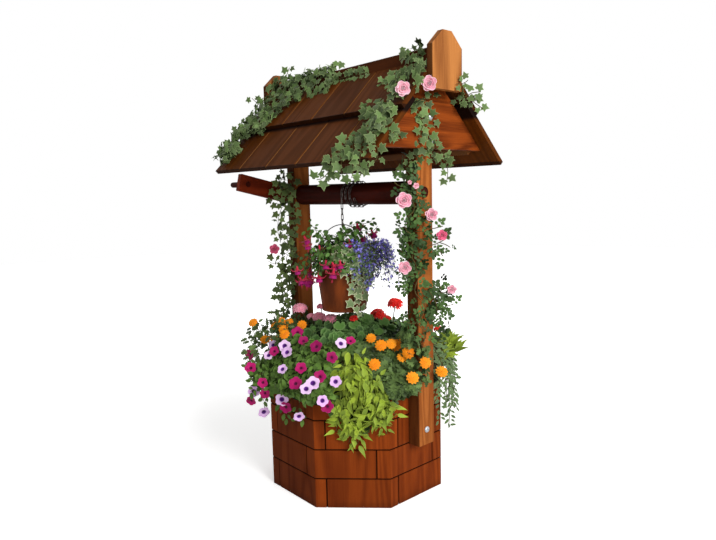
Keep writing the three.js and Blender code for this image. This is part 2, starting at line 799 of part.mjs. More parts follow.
const finialOutline = [
  [-finialWidth / 2, finialFoot],
  [finialWidth / 2, finialFoot],
  [finialWidth / 2, finialTop - finialPoint],
  [finialFlat / 2, finialTop],
  [-finialFlat / 2, finialTop],
  [-finialWidth / 2, finialTop - finialPoint],
];
const finial = () => prismAlongX(finialOutline, roofEnd + fitGap, roofEnd + fitGap + finialThickness);
add("right_finial", finial(), postWood);
add("left_finial", finial().rotateZ(Math.PI), postWood);

// Beds of plants: a section of [reach, height] points swept round the base, with its reach measured square
// to the panels. Each azimuth has its own section, so that a bed can hang lower in its middle.
function bed(from, to, sectionAt) {
  const points = [];
  const steps = Math.round((to - from) / bedStepAngle);
  let sides = 0;
  for (let i = 0; i <= steps; i++) {
    const turn = (from + i * bedStepAngle) * degree;
    const fromFace = turn - Math.round(turn / (halfSideTurn * 2)) * halfSideTurn * 2;
    const stretch = 1 / Math.cos(fromFace);
    const tangent = new THREE.Vector3(-Math.sin(turn), Math.cos(turn), 0);
    if (i > 0 && i < steps) tangent.multiplyScalar(0);
    if (i === steps) tangent.negate();
    const section = sectionAt(i / steps, turn);
    sides = section.length;
    for (const [reach, height] of section) {
      const radius = reach * stretch;
      const point = new THREE.Vector3(Math.cos(turn) * radius, Math.sin(turn) * radius, height);
      points.push(point.addScaledVector(tangent, bedGap / 2));
    }
  }
  return skin(points, sides, steps + 1, false);
}

function bedSection(hang, turn) {
  const wave = 1 + leafWaveShare * Math.sin(leafWaveCount * turn);
  const crown = soilTop + bedHeight;
  const inside = linerApothem - linerWall - bedGap;
  const outside = apothem + fitGap * 2;
  return [
    [bedInner + bedGap / 2, soilTop + fitGap],
    [inside, soilTop + fitGap],
    [inside, rimHeight + fitGap],
    [outside, rimHeight + fitGap],
    [outside, rimHeight - hang],
    [outside + bedSwell / 4, rimHeight - hang * wave],
    [outside + bedSwell * 0.7 * wave, rimHeight - hang * 0.55],
    [(apothem + bedSwell) * wave, crown - bedBulgeDrop],
    [bedShoulderRadius * wave, crown - bedShoulderDrop],
    [bedCrownRadius, crown * wave],
    [bedInner + bedGap / 2, crown],
  ];
}

// What the posts take out of the beds beside them
function postRoom() {
  const half = postWidth / 2 + fitGap * 2;
  const [low, high] = [postFoot - cutOver, soilTop + clumpHeight];
  const right = block([apothem - fitGap, -half, low], [apothem * 2, half, high]);
  return [right, right.clone().rotateZ(Math.PI)];
}
const evenBed = (hang) => (share, turn) => bedSection(hang, turn);
const drooping = (hang) => (share, turn) =>
  bedSection(bedHang + (hang - bedHang) * Math.sin(share * Math.PI), turn);
const beds = [
  ["lime_foliage", limeStartAngle, rightMarigoldStartAngle, drooping(limeHang), lime],
  ["marigolds_right", rightMarigoldStartAngle, vineStartAngle, evenBed(bedHang / 2), orange],
  ["trailing_vine", vineStartAngle, backPetuniaStartAngle, drooping(vineHang), leaf],
  ["petunias_back", backPetuniaStartAngle, leftMarigoldStartAngle, evenBed(bedHang), magenta],
  ["marigolds_left", leftMarigoldStartAngle, frontPetuniaStartAngle, evenBed(bedHang / 2), orange],
  ["petunias_front", frontPetuniaStartAngle, limeStartAngle + 360, evenBed(bedHang), magenta],
];
for (const [name, from, to, section, material] of beds) {
  add(name, cut(bed(from, to, section), postRoom()), material);
}

// The middle clump under the bucket
function clump() {
  const crown = soilTop + bedHeight;
  const levels = [
    [bedInner, soilTop + fitGap],
    [bedInner, crown],
    [(bedInner + clumpShoulderRadius) / 2, soilTop + clumpHeight - clumpShoulderDrop * 1.4],
    [clumpShoulderRadius, soilTop + clumpHeight - clumpShoulderDrop],
    [clumpShoulderRadius / 3, soilTop + clumpHeight],
  ];
  const points = [];
  const sides = 360 / bedStepAngle / 2;
  for (const [reach, height] of levels) {
    for (let k = 0; k < sides; k++) {
      const turn = (k * 2 + 1) * bedStepAngle * degree;
      const fromFace = turn - Math.round(turn / (halfSideTurn * 2)) * halfSideTurn * 2;
      const wave = reach < bedInner ? 1 + leafWaveShare * Math.sin(clumpWaveCount * turn) : 1;
      const radius = ((reach - bedGap / 2) * wave) / Math.cos(fromFace);
      points.push(new THREE.Vector3(Math.cos(turn) * radius, Math.sin(turn) * radius, height));
    }
  }
  return skin(points, sides, levels.length, false);
}
add("geraniums", clump(), rose);

// Planting in the bucket: two halves with the bail between them, trailing further on one side
const bucketStepCount = 14; // over half a turn
function bucketSection(turn) {
  const reach = bucketBulge * (1 + bucketBulgeShare * Math.cos(turn - bucketBulgeAngle * degree));
  const wave = 1 + leafWaveShare * Math.sin(bucketWaveCount * turn);
  const fromIvy = Math.acos(Math.cos(turn - ivyAngle * degree));
  const trail = Math.cos(Math.min(fromIvy * ivySpreadShare, Math.PI / 2));
  const hang = bucketHang + ivyHang * trail ** 2;
  const inside = bucketRimRadius - bucketWall - wallSlope * bucketSoilDrop - fitGap * 4;
  const outside = holeRadius(bucketRimRadius + rimRoll, fitGap, bucketStepCount * 2);
  return [
    [bucketPlantCore, bucketSoilTop + fitGap],
    [inside, bucketSoilTop + fitGap],
    [inside, bucketRim + fitGap],
    [outside, bucketRim + fitGap],
    [outside, bucketRim - hang],
    [outside + ivySwell, bucketRim - hang * wave],
    [reach * wave, bucketRim + bucketBulgeRise - hang / 3],
    [reach * 0.92, bucketRim + bucketBulgeRise * 1.6],
    [bucketRimRadius * 0.8, bucketRim + bucketPlantRise * wave * 0.85],
    [bucketPlantCore, bucketRim + bucketPlantRise],
  ];
}
function bucketPlants(from) {
  const points = [];
  for (let i = 0; i <= bucketStepCount; i++) {
    const turn = from + (i / bucketStepCount) * Math.PI;
    for (const [reach, height] of bucketSection(turn)) {
      points.push(new THREE.Vector3(Math.cos(turn) * reach, Math.sin(turn) * reach, height));
    }
  }
  return skin(points, bucketSection(0).length, bucketStepCount + 1, false);
}

// Room for the bail as it tips, and for the ears
function bailRoom() {
  const high = bucketPlantRise * 2;
  const spread = bailSlotHalf + high * Math.tan(bailSlotAngle * degree);
  const low = earHeightAt - bailSlotHalf - earHeight;
  const wedge = [
    [-bailSlotHalf, low], [bailSlotHalf, low], [bailSlotHalf, earHeightAt],
    [spread, earHeightAt + high], [-spread, earHeightAt + high], [-bailSlotHalf, earHeightAt],
  ];
  const reach = bucketBulge * 2;
  const half = earWidth / 2 + fitGap * 2;
  const ears = block(
    [earX - bailEndLength * 2, -half, earHeightAt - earHeight],
    [bailX + bailWire, half, earHeightAt + earWidth],
  );
  return [prismAlongX(wedge, -reach, reach), ears, ears.clone().rotateZ(Math.PI)];
}
add("bucket_plants_front", cut(bucketPlants(Math.PI), bailRoom()), leaf, bucket);
add("bucket_plants_back", cut(bucketPlants(0), bailRoom()), blue, bucket);

// An outline between two heights with waved sides, for a climber on an upright face
function wavedOutline(left, right, low, high) {
  const steps = 10;
  const [down, up] = [[], []];
  for (let i = 0; i <= steps; i++) {
    const height = low + ((high - low) * i) / steps;
    const wave = matWave * Math.sin(i * 2.1);
    up.push([right + wave, height]);
    down.unshift([left + matWave * Math.sin(i * 1.7 + 1), height]);
  }
  return [...up, ...down];
}

// An outline's x and y along X and Z, its depth from one Y down to another
function prismAlongY(outline, near, far) {
  return prism(outline, near - far).rotateX(Math.PI / 2).translate(0, near, 0);
}

// Rose on the right post: up its -Y side, and over its outer face lower down
const postSide = -postWidth / 2 - fitGap;
const roseFoot = rimHeight + roseFootRise;
const roseTop = gableFoot - roseTopDrop;
const roseSide = prismAlongY(
  wavedOutline(apothem + matWave * 2, postOuter + matWave * 2, roseFoot, roseTop),
  postSide,
  postSide - postMatDepth,
);
function roseFace() {
  const [low, middle, high] = [roseFoot, (roseFoot * 2 + roseTop) / 3, (roseFoot + roseTop * 2) / 3];
  const lower = wavedOutline(postSide - postMatDepth / 2, postWidth + matWave, low, middle);
  const upper = wavedOutline(postSide - postMatDepth / 2, roseFaceReach, middle - matWave, high);
  const start = postOuter + fitGap;
  return [lower, upper].map((outline) => prismAlongX(outline, start, start + rosePatchDepth));
}
add("climbing_rose", join([roseSide, ...roseFace()]), rose);

// Ivy on the left post
const postIvy = wavedOutline(
  -postOuter - matWave * 2,
  -apothem - matWave,
  rimHeight + postIvyFootRise,
  gableFoot - postIvyTopDrop,
);
add("post_ivy", prismAlongY(postIvy, postSide, postSide - postMatDepth), leaf);

// Ivy on the roof: outlines on the front slope as shares of half the roof's length and of the slope's length
const slopeLength = downSlope(eaveRun);
const leftMatShares = [
  [-1, -0.1], [-0.99, -0.94], [-0.84, -0.93], [-0.82, -0.72], [-0.68, -0.6], [-0.62, -0.42],
  [-0.42, -0.3], [-0.36, -0.1],
];
const rightMatShares = [
  [0.7, -0.1], [0.66, -0.28], [0.56, -0.46], [0.46, -0.62], [0.52, -0.8], [0.4, -1.04], [0.82, -1.06],
  [0.98, -0.9], [0.99, -0.1],
];
function slopeMat(shares) {
  const outline = shares.map(([x, y]) => [x * roofEnd, y * slopeLength]);
  const mat = prism(outline.reverse(), upperLevel + matThickness - fitGap);
  return mat.translate(0, 0, fitGap).applyMatrix4(frontSlope.matrixWorld);
}

// Ivy along the ridge beam and over its top
function ridgeMat(start, end) {
  const side = -ridgeWidth / 2;
  const under = (run) => peakHeight + upperLevel / Math.cos(slope) - run * Math.tan(slope);
  const outline = [
    [side / 3, ridgeTop], [side / 3, ridgeTop + matThickness / 2],
    [-ridgeMatShoulder, ridgeTop + matThickness * 0.7],
    [-ridgeMatSpread, ridgeTop],
    [-ridgeMatReach, under(ridgeMatReach) + matThickness / 2],
    [-ridgeMatReach, under(ridgeMatReach)],
    [side, under(-side) - arris],
  ];
  return prismAlongX(outline, start, end);
}

// What the roof takes out of the ivy on it
function roofRoom() {
  const end = roofEnd + fitGap;
  const upper = block([-end, -downSlope(upperEdgeRun) - fitGap, -fitGap], [end, 0, upperLevel + fitGap]);
  const lower = block([-end, -slopeLength - fitGap, -roofBoard - fitGap], [end, 0, fitGap]);
  const half = ridgeWidth / 2 + fitGap;
  const beam = block([-end, -half, ridgeFoot - fitGap], [end, half, ridgeTop + fitGap]);
  const finialRoom = block(
    [roofEnd, -finialWidth / 2 - fitGap, finialFoot - fitGap],
    [end + finialThickness * 2, finialWidth, finialTop + cutOver],
  );
  const slabs = [upper, lower].map((slab) => slab.applyMatrix4(frontSlope.matrixWorld));
  return [...slabs, beam, finialRoom, finialRoom.clone().rotateZ(Math.PI).scale(1, -1, 1)];
}

// Ivy that turns over the right end of the roof and hangs down the gable board to the post
function gableMat() {
  const [near, far] = [-boltHeadRadius - arris, -finialWidth / 2 - matThickness];
  const low = gableFoot - gableIvyDrop;
  const high = finialFoot - cutOver;
  const outline = wavedOutline(far, near - matWave, low, high);
  const face = prismAlongX(outline, gableOuter + fitGap, gableOuter + matThickness);
  const wrap = block(
    [gableOuter + matThickness / 2, far - matThickness / 2, gableFoot + wrapFootRise],
    [roofEnd + wrapDepth, far + matThickness, gableFoot + wrapFootRise + wrapHeight],
  );
  return [face, wrap];
}
planter.updateMatrixWorld(true);
const leftIvy = join([slopeMat(leftMatShares), ridgeMat(-roofEnd + fitGap, -ridgeWidth / 2)]);
add("roof_ivy_left", cut(leftIvy, roofRoom()), leaf);
const rightIvy = join([slopeMat(rightMatShares), ridgeMat(roofEnd * 0.74, roofEnd - fitGap), ...gableMat()]);
add("roof_ivy_right", cut(rightIvy, roofRoom()), leaf);

export default planter;
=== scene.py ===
# %% [markdown]
# # A wishing well planter
# The real thing is a stained softwood planter with eight walls, two posts, a boarded roof and a windlass
# that carries a planted pail. The CAD model gives every timber, bolt and link its size and place. Here the
# timbers get their stain, the turned and wound pieces get their smooth form, and the plants are grown.

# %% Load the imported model
import math

import bmesh
import bpy
import numpy as np
from mathutils import Matrix, Vector
from mathutils.bvhtree import BVHTree


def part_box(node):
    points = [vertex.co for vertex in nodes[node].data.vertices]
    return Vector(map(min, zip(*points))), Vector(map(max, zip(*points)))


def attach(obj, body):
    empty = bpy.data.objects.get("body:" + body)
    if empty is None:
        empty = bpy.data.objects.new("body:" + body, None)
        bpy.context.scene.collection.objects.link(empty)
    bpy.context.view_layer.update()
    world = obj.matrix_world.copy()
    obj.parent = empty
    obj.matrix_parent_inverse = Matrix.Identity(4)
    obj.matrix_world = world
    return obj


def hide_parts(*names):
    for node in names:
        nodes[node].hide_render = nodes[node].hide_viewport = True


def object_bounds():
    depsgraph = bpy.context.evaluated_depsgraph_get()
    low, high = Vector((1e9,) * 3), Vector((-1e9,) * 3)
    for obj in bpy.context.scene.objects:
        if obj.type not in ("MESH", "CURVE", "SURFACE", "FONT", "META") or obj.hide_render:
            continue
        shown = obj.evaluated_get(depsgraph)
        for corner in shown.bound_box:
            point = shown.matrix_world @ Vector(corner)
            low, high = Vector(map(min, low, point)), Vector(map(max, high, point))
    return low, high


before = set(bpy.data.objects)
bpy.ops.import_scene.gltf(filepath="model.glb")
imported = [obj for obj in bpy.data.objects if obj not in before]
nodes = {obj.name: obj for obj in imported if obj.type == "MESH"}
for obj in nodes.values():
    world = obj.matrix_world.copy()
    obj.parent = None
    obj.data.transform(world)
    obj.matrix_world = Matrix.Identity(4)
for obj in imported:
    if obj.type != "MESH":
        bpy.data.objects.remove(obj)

cad_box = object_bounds()
print("CAD box", [round(v, 3) for corner in cad_box for v in corner])

# %% [markdown]
# ## The camera
# The view is a standing child's: level with the windlass, off the near post's corner. The camera was found
# by lining up the edges of the timbers, so its place is typed as it was found.

# %% Place the camera
PICTURE = (716, 540)
FOCAL_PIXELS = 620.5
eye = Vector((1.5877, -1.3793, 0.9690))
azimuth, dip, roll = (math.radians(v) for v in (48.665, 7.057, -1.312))

ahead = Vector((-math.sin(azimuth) * math.cos(dip), math.cos(azimuth) * math.cos(dip), -math.sin(dip)))
level_right = Vector((math.cos(azimuth), math.sin(azimuth), 0))
level_up = level_right.cross(ahead)
eye_right = level_right * math.cos(roll) + level_up * math.sin(roll)
eye_up = level_up * math.cos(roll) - level_right * math.sin(roll)


def add(name, data):
    """Puts an object into the scene."""
    made = bpy.data.objects.new(name, data)
    bpy.context.scene.collection.objects.link(made)
    return made


lens = bpy.data.cameras.new("camera")
lens.sensor_width = 36
lens.lens = FOCAL_PIXELS / PICTURE[0] * lens.sensor_width
camera = add("camera", lens)
camera.matrix_world = Matrix([[eye_right[i], eye_up[i], -ahead[i], eye[i]] for i in range(3)] + [[0, 0, 0, 1]])
bpy.context.scene.camera = camera


def sight_line(x, y):
    """The direction from the eye through a pixel of the photograph."""
    across = (x - PICTURE[0] / 2) / FOCAL_PIXELS
    down = (y - PICTURE[1] / 2) / FOCAL_PIXELS
    return (ahead + eye_right * across - eye_up * down).normalized()


# %% [markdown]
# ## Light and floor
# A large soft lamp stands on the crank's far side and lights the gable end, as a window would. A weaker one
# fills the long side. The world is white where it is seen and dim where it only lights.

# %% Place the lamps
def soft_lamp(name, place, target, size, power):
    lamp = bpy.data.lights.new(name, "AREA")
    lamp.shape, lamp.size, lamp.energy = "DISK", size, power
    holder = add(name, lamp)
    holder.location = place
    holder.rotation_euler = (Vector(target) - Vector(place)).to_track_quat("-Z", "Y").to_euler()


soft_lamp("key_lamp", (4.2, -0.6, 2.6), (0, 0, 0.75), 2.2, 205)
soft_lamp("fill_lamp", (2.6, -3.0, 1.6), (0, 0, 0.7), 1.6, 22)
soft_lamp("back_lamp", (-2.6, 3.2, 3.2), (0, 0, 0.8), 2.4, 62)

# %% [markdown]
# Nodes are laid by small helpers. What a node gives can be added and multiplied as a number can, and each
# sum or product is a further node.

# %% Helpers for nodes
class Value:
    """What a node gives."""

    def __init__(self, socket):
        self.socket, self.tree = socket, socket.id_data

    def do(self, operation, other=0.0, clamp=False):
        return put(self.tree, "Math", {0: self, 1: other}, operation=operation, use_clamp=clamp)

    def __add__(self, other):
        return self.do("ADD", other)

    def __sub__(self, other):
        return self.do("SUBTRACT", other)

    def __mul__(self, other):
        return self.do("MULTIPLY", other)

    def __truediv__(self, other):
        return self.do("DIVIDE", other)

    def span(self, low, high, to_low=0.0, to_high=1.0, smooth=True):
        """Carries low to to_low and high to to_high, and stops there."""
        inputs = {"Value": self, "From Min": low, "From Max": high, "To Min": to_low, "To Max": to_high}
        return put(self.tree, "MapRange", inputs, interpolation_type="SMOOTHSTEP" if smooth else "LINEAR")

    def even(self, low, high, to_low, to_high):
        return self.span(low, high, to_low, to_high, False)

    def split(self):
        return put(self.tree, "SeparateXYZ", {0: self}, (0, 1, 2))


def fill(socket, value):
    """Links a value to a socket, or types a constant into it."""
    if isinstance(value, Value):
        socket.id_data.links.new(value.socket, socket)
    else:
        socket.default_value = value


def put(tree, kind, inputs, outlet=0, **choices):
    """Lays a node, sets its choices, fills its inputs and gives back one output, or several."""
    made = tree.nodes.new("ShaderNode" + kind)
    for name, value in choices.items():
        setattr(made, name, value)
    for name, value in inputs.items():
        fill(made.inputs[name], value)
    return [Value(made.outputs[o]) for o in outlet] if isinstance(outlet, tuple) else Value(made.outputs[outlet])


def mix(share, one, other):
    """A colour between two others."""
    tree = next(v.tree for v in (share, one, other) if isinstance(v, Value))
    return put(tree, "Mix", {0: share, 6: one, 7: other}, 2, data_type="RGBA")


def colour(red, green, blue, depth=1):
    """A colour as a painter's 0 to 255 values, made linear, and scaled by depth, which paints shade into the walls.
    """
    shares = [v / 255 for v in (red, green, blue)]
    return (*[(v / 12.92 if v <= 0.04045 else ((v + 0.055) / 1.055) ** 2.4) * depth for v in shares], 1.0)


def place_in(tree):
    return put(tree, "TexCoord", {}, "Object")


def new_material(name, build):
    """A material whose shader has the inputs that build makes in its tree."""
    made = bpy.data.materials.new(name)
    made.use_nodes = True
    tree = made.node_tree
    for label, value in build(tree).items():
        fill(tree.nodes["Principled BSDF"].inputs[label], value)
    return made


# %% Light the world and lay the floor
world = bpy.data.worlds.new("studio")
bpy.context.scene.world = world
world.use_nodes = True
sky = world.node_tree
sky.nodes.clear()
camera_ray, glossy, through = put(sky, "LightPath", {}, ("Is Camera Ray", "Is Glossy Ray", "Is Transmission Ray"))
seen = camera_ray.do("MAXIMUM", glossy).do("MAXIMUM", through)
backdrop = put(sky, "Background", {"Color": (1, 1, 1, 1), "Strength": seen.even(0, 1, 0.26, 1.0)})
fill(sky.nodes.new("ShaderNodeOutputWorld").inputs[0], backdrop)


def floor_paint(tree):
    reach = put(tree, "VectorMath", {0: place_in(tree)}, "Value", operation="LENGTH")
    glow = put(tree, "LightPath", {}, "Is Camera Ray") * reach.span(0.6, 2.4, 0.5, 1.0)
    return {"Base Color": (0.86, 0.86, 0.85, 1), "Roughness": 0.9, "Emission Color": (1, 1, 1, 1),
            "Emission Strength": glow}


bpy.ops.object.select_all(action="DESELECT")
bpy.ops.mesh.primitive_circle_add(vertices=64, radius=9, fill_type="NGON", location=(0, 0, -0.0005))
floor = bpy.context.active_object
floor.name = "studio_floor"
floor.data.materials.append(new_material("floor_paint", floor_paint))

# %% [markdown]
# ## Stained wood
# Softwood has three scales of figure: long pale and dark growth lines that wander, fine fibres, and
# blotches where the stain soaked in. All three are noise, drawn out along the grain. They are made once in
# a group, and every timber sets its own colours, its grain direction and its boldness.

# %% Build the grain group
def new_group(name, vectors, colours, floats, outlets, build):
    """A node group with its inputs listed by kind. Build makes its outputs of them."""
    group = bpy.data.node_groups.new(name, "ShaderNodeTree")
    labels = [("INPUT", label, kind) for kind, listed in (("Vector", vectors), ("Color", colours), ("Float", floats))
              for label in listed.split()]
    labels += [("OUTPUT", label, "Color" if label == "Colour" else "Float") for label in outlets.split()]
    for way, label, kind in labels:
        group.interface.new_socket(label, in_out=way, socket_type="NodeSocket" + kind)
    given = {outlet.name: Value(outlet) for outlet in group.nodes.new("NodeGroupInput").outputs}
    for socket, value in zip(group.nodes.new("NodeGroupOutput").inputs, build(group, given)):
        fill(socket, value)
    return group


def use_group(tree, group, values):
    node = tree.nodes.new("ShaderNodeGroup")
    node.node_tree = group
    for label, value in values.items():
        fill(node.inputs[label], value)
    return [Value(outlet) for outlet in node.outputs]


def noise(place, scale, detail=2.0, stretch=(1, 1, 1), distortion=0.0):
    drawn = put(place.tree, "VectorMath", {0: place, 1: stretch}, operation="MULTIPLY")
    inputs = {"Vector": drawn, "Scale": scale, "Detail": detail, "Distortion": distortion}
    return put(place.tree, "TexNoise", inputs, "Fac")


def bumps(height, strength, distance):
    return put(height.tree, "Bump", {"Height": height, "Strength": strength, "Distance": distance})


def wood_figure(tree, given):
    place = put(tree, "VectorMath", {0: given["Along"], 1: given["Shift"]}, operation="ADD")
    growth = noise(place, given["Scale"], 1.0, (0.10, 1, 1), 0.3)
    bands = (growth * 16).do("PINGPONG", 1.0).span(0.1, 0.9)
    fibres = noise(place, 420, 2.0, (0.03, 1, 1))
    blotches = noise(place, 9.0, 3.0, (0.35, 1, 1), 0.4)
    tone = (bands - 0.5) * given["Lines"] + (fibres - 0.5) * given["Fibres"] + (blotches - 0.5) * given["Blotches"]
    tone = tone.do("ADD", 0.5, clamp=True)
    return mix(tone, given["Deep"], given["Pale"]), tone.even(0, 1, 0.62, 0.46), bands * 0.4 + fibres


grain_group = new_group("wood_grain", "Along Shift", "Pale Deep", "Lines Fibres Blotches Scale",
                        "Colour Roughness Height", wood_figure)

# %% [markdown]
# A timber's material turns its place so that the grain runs along the group's first axis. What differs
# from timber to timber, such as the routed joints of a panel or the seams of a roof, is added by a function
# that gets the place and the grain's colour and gives a new colour back.

# %% A material for a timber
GRAIN_TURNS = {
    "upright": (0, math.radians(90), 0),
    "along_ridge": (0, 0, 0),
    "across": (0, 0, math.radians(90)),
    "front_slope": (math.radians(-45), 0, math.radians(90)),
    "back_slope": (math.radians(45), 0, math.radians(-90)),
}


# depth scales both colours darker; the walls use it for painted shade.
def timber(name, pale, deep, lie, lines=0.5, fibres=0.35, blotches=0.6, scale=6.0, shift=(0, 0, 0), extra=None,
           gloss=0.0, depth=1):
    def build(tree):
        here = place_in(tree)
        shade, rough, relief = use_group(tree, grain_group, {
            "Along": put(tree, "Mapping", {"Vector": here, "Rotation": GRAIN_TURNS[lie]}), "Shift": shift,
            "Pale": colour(*pale, depth), "Deep": colour(*deep, depth), "Lines": lines, "Fibres": fibres,
            "Blotches": blotches, "Scale": scale,
        })
        return {"Base Color": extra(here, shade) if extra else shade, "Roughness": rough, "Coat Weight": gloss,
                "Coat Roughness": 0.4, "Specular IOR Level": 0.03, "Normal": bumps(relief, 0.25, 0.0006)}
    return new_material(name, build)


def dress(material, *names):
    for name in names:
        nodes[name].data.materials.clear()
        nodes[name].data.materials.append(material)


def chance_at(x, y, z=0.0):
    """A number by chance, one for each board or brick."""
    spot = put(x.tree, "CombineXYZ", {0: x, 1: y, 2: z})
    return put(x.tree, "TexWhiteNoise", {"Vector": spot}, "Value", noise_dimensions="3D")


# %% [markdown]
# ## Walls of the base
# Each panel is one board, routed so that it looks like four rows of brick. The stain is darkest in the
# joints, where painted shade also stands in for the shadow in the grooves, and each brick took it a little
# differently. Painted shade also darkens the foot of each wall, and each panel's whole stain by its own share.

# %% Stain the eight panels
APOTHEM = 0.282
ROW = 0.0935
ODD_JOINT, EVEN_JOINT = -0.0818, 0.0748
# Painted shade: each panel's stain is scaled darker by its own share.
WALL_PAINTED_SHADES = (1, 0.95, 0.85, 0.95, 1, 0.9, 0.72, 1)


def brick_tones_and_shade(number):
    def extra(here, shade):
        turn = (0, 0, -number * math.pi / 4)
        out, side, up = put(here.tree, "Mapping", {"Vector": here, "Rotation": turn}).split()
        row = (up / ROW).do("FLOOR")
        joint = row.do("MODULO", 2).even(0, 1, ODD_JOINT, EVEN_JOINT)
        chance = chance_at(row, side.do("GREATER_THAN", joint), float(number))
        toned = mix(chance.even(0, 1, 0, 0.35), shade, colour(55, 22, 9))
        # Painted shade along the foot of the wall.
        shaded = mix(up.span(0.0, 0.03, 0.35, 0.0), toned, colour(45, 18, 8))
        # The joints: dark stain, darkened further as painted shade in the grooves.
        return mix(out.span(APOTHEM - 0.0028, APOTHEM - 0.0004), colour(22, 8, 4), shaded)
    return extra


for number, depth in enumerate(WALL_PAINTED_SHADES):
    stain = timber(f"wall_stain_and_shade_{number + 1}", (152, 68, 20), (92, 34, 8), "upright", lines=0.35, fibres=0.5,
                   blotches=0.9, scale=11.0, shift=(0.37 * number, 0.11 * number, 0), extra=brick_tones_and_shade(number),
                   depth=depth)
    dress(stain, f"base_panel_{number + 1}")

# %% [markdown]
# ## Posts, gables and roof
# The posts and finials are the palest timbers, with painted shade on their narrow sides. The roof boards are
# dark, with a thin paler line on each seam as a painted highlight.

# %% Stain the posts, gables and finials
def painted_side_shade(half_width):
    """Darkens the narrow faces of a board towards dark brown, as painted shade."""
    def extra(here, shade):
        side = here.split()[1].do("ABSOLUTE")
        return mix(side.span(half_width - 0.003, half_width - 0.001, 0.0, 0.75), shade, colour(52, 20, 8))
    return extra


dress(timber("post_stain", (172, 101, 47), (112, 56, 22), "upright", lines=0.45, fibres=0.7, blotches=0.7, scale=12.0,
             extra=painted_side_shade(0.035)), "left_post", "right_post")
dress(timber("finial_stain", (182, 118, 62), (122, 70, 34), "upright", lines=0.6, fibres=0.7, blotches=0.5, scale=8.0,
             shift=(0.2, 0.4, 0.1), extra=painted_side_shade(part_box("right_finial")[1].y)), "left_finial", "right_finial")
dress(timber("gable_stain", (140, 65, 21), (78, 31, 9), "across", lines=0.5, fibres=0.9, blotches=0.7, scale=15.0),
      "left_gable", "right_gable")

# %% Stain the roof, board by board
ROOF_LENGTH = 0.796
BOARD = ROOF_LENGTH / 5
# Dark end grain with painted shade at the foot of each course, and painted shade in the lap.
END_GRAIN_AND_SHADE, LAP_SHADE = colour(24, 10, 6), colour(20, 9, 6)


def board_seams(side, course, shift):
    lower, way = course == "lower", -1.0 if side == "front" else 1.0
    crest = max(point.co.z + way * point.co.y for point in nodes[f"{side}_{course}_boards"].data.vertices)
    low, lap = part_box(f"{side}_{course}_boards")[0].z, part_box(f"{side}_upper_boards")[0].z

    def extra(here, shade):
        x, y, z = here.split()
        boards = (x + (ROOF_LENGTH / 2 + shift * BOARD)) / BOARD
        toned = mix(chance_at(boards.do("FLOOR"), shift).even(0, 1, 0, 0.4), shade, colour(46, 22, 10))
        edge = boards.do("FRACT").do("PINGPONG", 0.5) * BOARD
        # A paler line on the edges of each seam, on the top face only: a painted highlight.
        seam_highlight = edge.span(0.0036, 0.0022, 0.0, 0.75 if lower else 0.5)
        between = x.do("ABSOLUTE").do("LESS_THAN", ROOF_LENGTH / 2 - 0.01)
        on_top = between * (z + y * way).do("GREATER_THAN", crest - 0.008)
        toned = mix(seam_highlight * on_top, toned, colour(146, 98, 54))
        # The foot of each course: darker end grain and painted shade. On the lower course, painted shade under and
        # just below the upper course's lap.
        toned = mix(z.span(low + 0.013, low + 0.010, 0.0, 0.75), toned, END_GRAIN_AND_SHADE)
        return mix(z.span(lap - 0.016, lap - 0.004), toned, LAP_SHADE) if lower else toned
    return extra


for side in ("front", "back"):
    for course, shift in (("lower", 0.0), ("upper", 0.5)):
        stain = timber(f"{side}_{course}_board_stain", (106, 54, 12), (62, 30, 5), f"{side}_slope", lines=0.3,
                       fibres=0.6, blotches=0.6, scale=8.0, shift=(shift, 0.3, 0),
                       extra=board_seams(side, course, shift))
        dress(stain, f"{side}_{course}_boards")
dress(timber("ridge_stain", (88, 44, 18), (44, 20, 8), "along_ridge", lines=0.4, blotches=0.7), "ridge_beam")
dress(timber("sawn_stain", (116, 72, 38), (72, 40, 18), "along_ridge", lines=0.4, blotches=0.5),
      "base_floor", "front_eave_batten", "front_ridge_batten", "back_eave_batten", "back_ridge_batten")

# %% [markdown]
# ## Metals
# The bolts are bright zinc, the chain and bail are dark worn steel, and the pail is aged copper, brown with
# paler runs. All of them are a clean tone that stains break up, so one group makes them all.

# %% Build the stain group
def metal_figure(tree, given):
    specks = noise(given["Place"], 900.0, 1.0)
    stains = noise(given["Place"], given["Scale"], 5.0, given["Runs"])
    mask = stains.span(0.35, 0.65).do("ADD", specks.even(0.3, 0.7, -0.12, 0.12), clamp=True)
    return mix(mask, given["Clean"], given["Stained"]), mask, specks


metal_group = new_group("metal_stains", "Place Runs", "Clean Stained", "Scale", "Colour Mask Height", metal_figure)


def metal(name, clean, stained, scale, shine, rough, stained_rough, runs=(1, 1, 1), specular=0.5):
    def build(tree):
        shade, mask, relief = use_group(tree, metal_group, {
            "Place": place_in(tree), "Clean": colour(*clean), "Stained": colour(*stained), "Runs": runs,
            "Scale": scale,
        })
        return {"Base Color": shade, "Roughness": mask.even(0, 1, rough, stained_rough), "Metallic": shine,
                "Specular IOR Level": specular, "Normal": bumps(relief, 0.12, 0.0004)}
    return new_material(name, build)


zinc = metal("zinc", (214, 218, 224), (150, 154, 160), 160, 0.9, 0.28, 0.5)
steel = metal("chain_steel", (98, 90, 86), (46, 36, 32), 90, 0.7, 0.38, 0.7)
copper = metal("aged_copper", (122, 56, 14), (82, 36, 10), 26, 0.1, 0.5, 0.65, (1, 1, 0.16), 0.15)

# %% [markdown]
# ## Turned pieces
# A lathe or a spinning chuck makes each of these, so each is a disc that is extruded and resized, ring after
# ring, along its profile. The disc is made on Z, and then the finished piece is turned to lie along X.

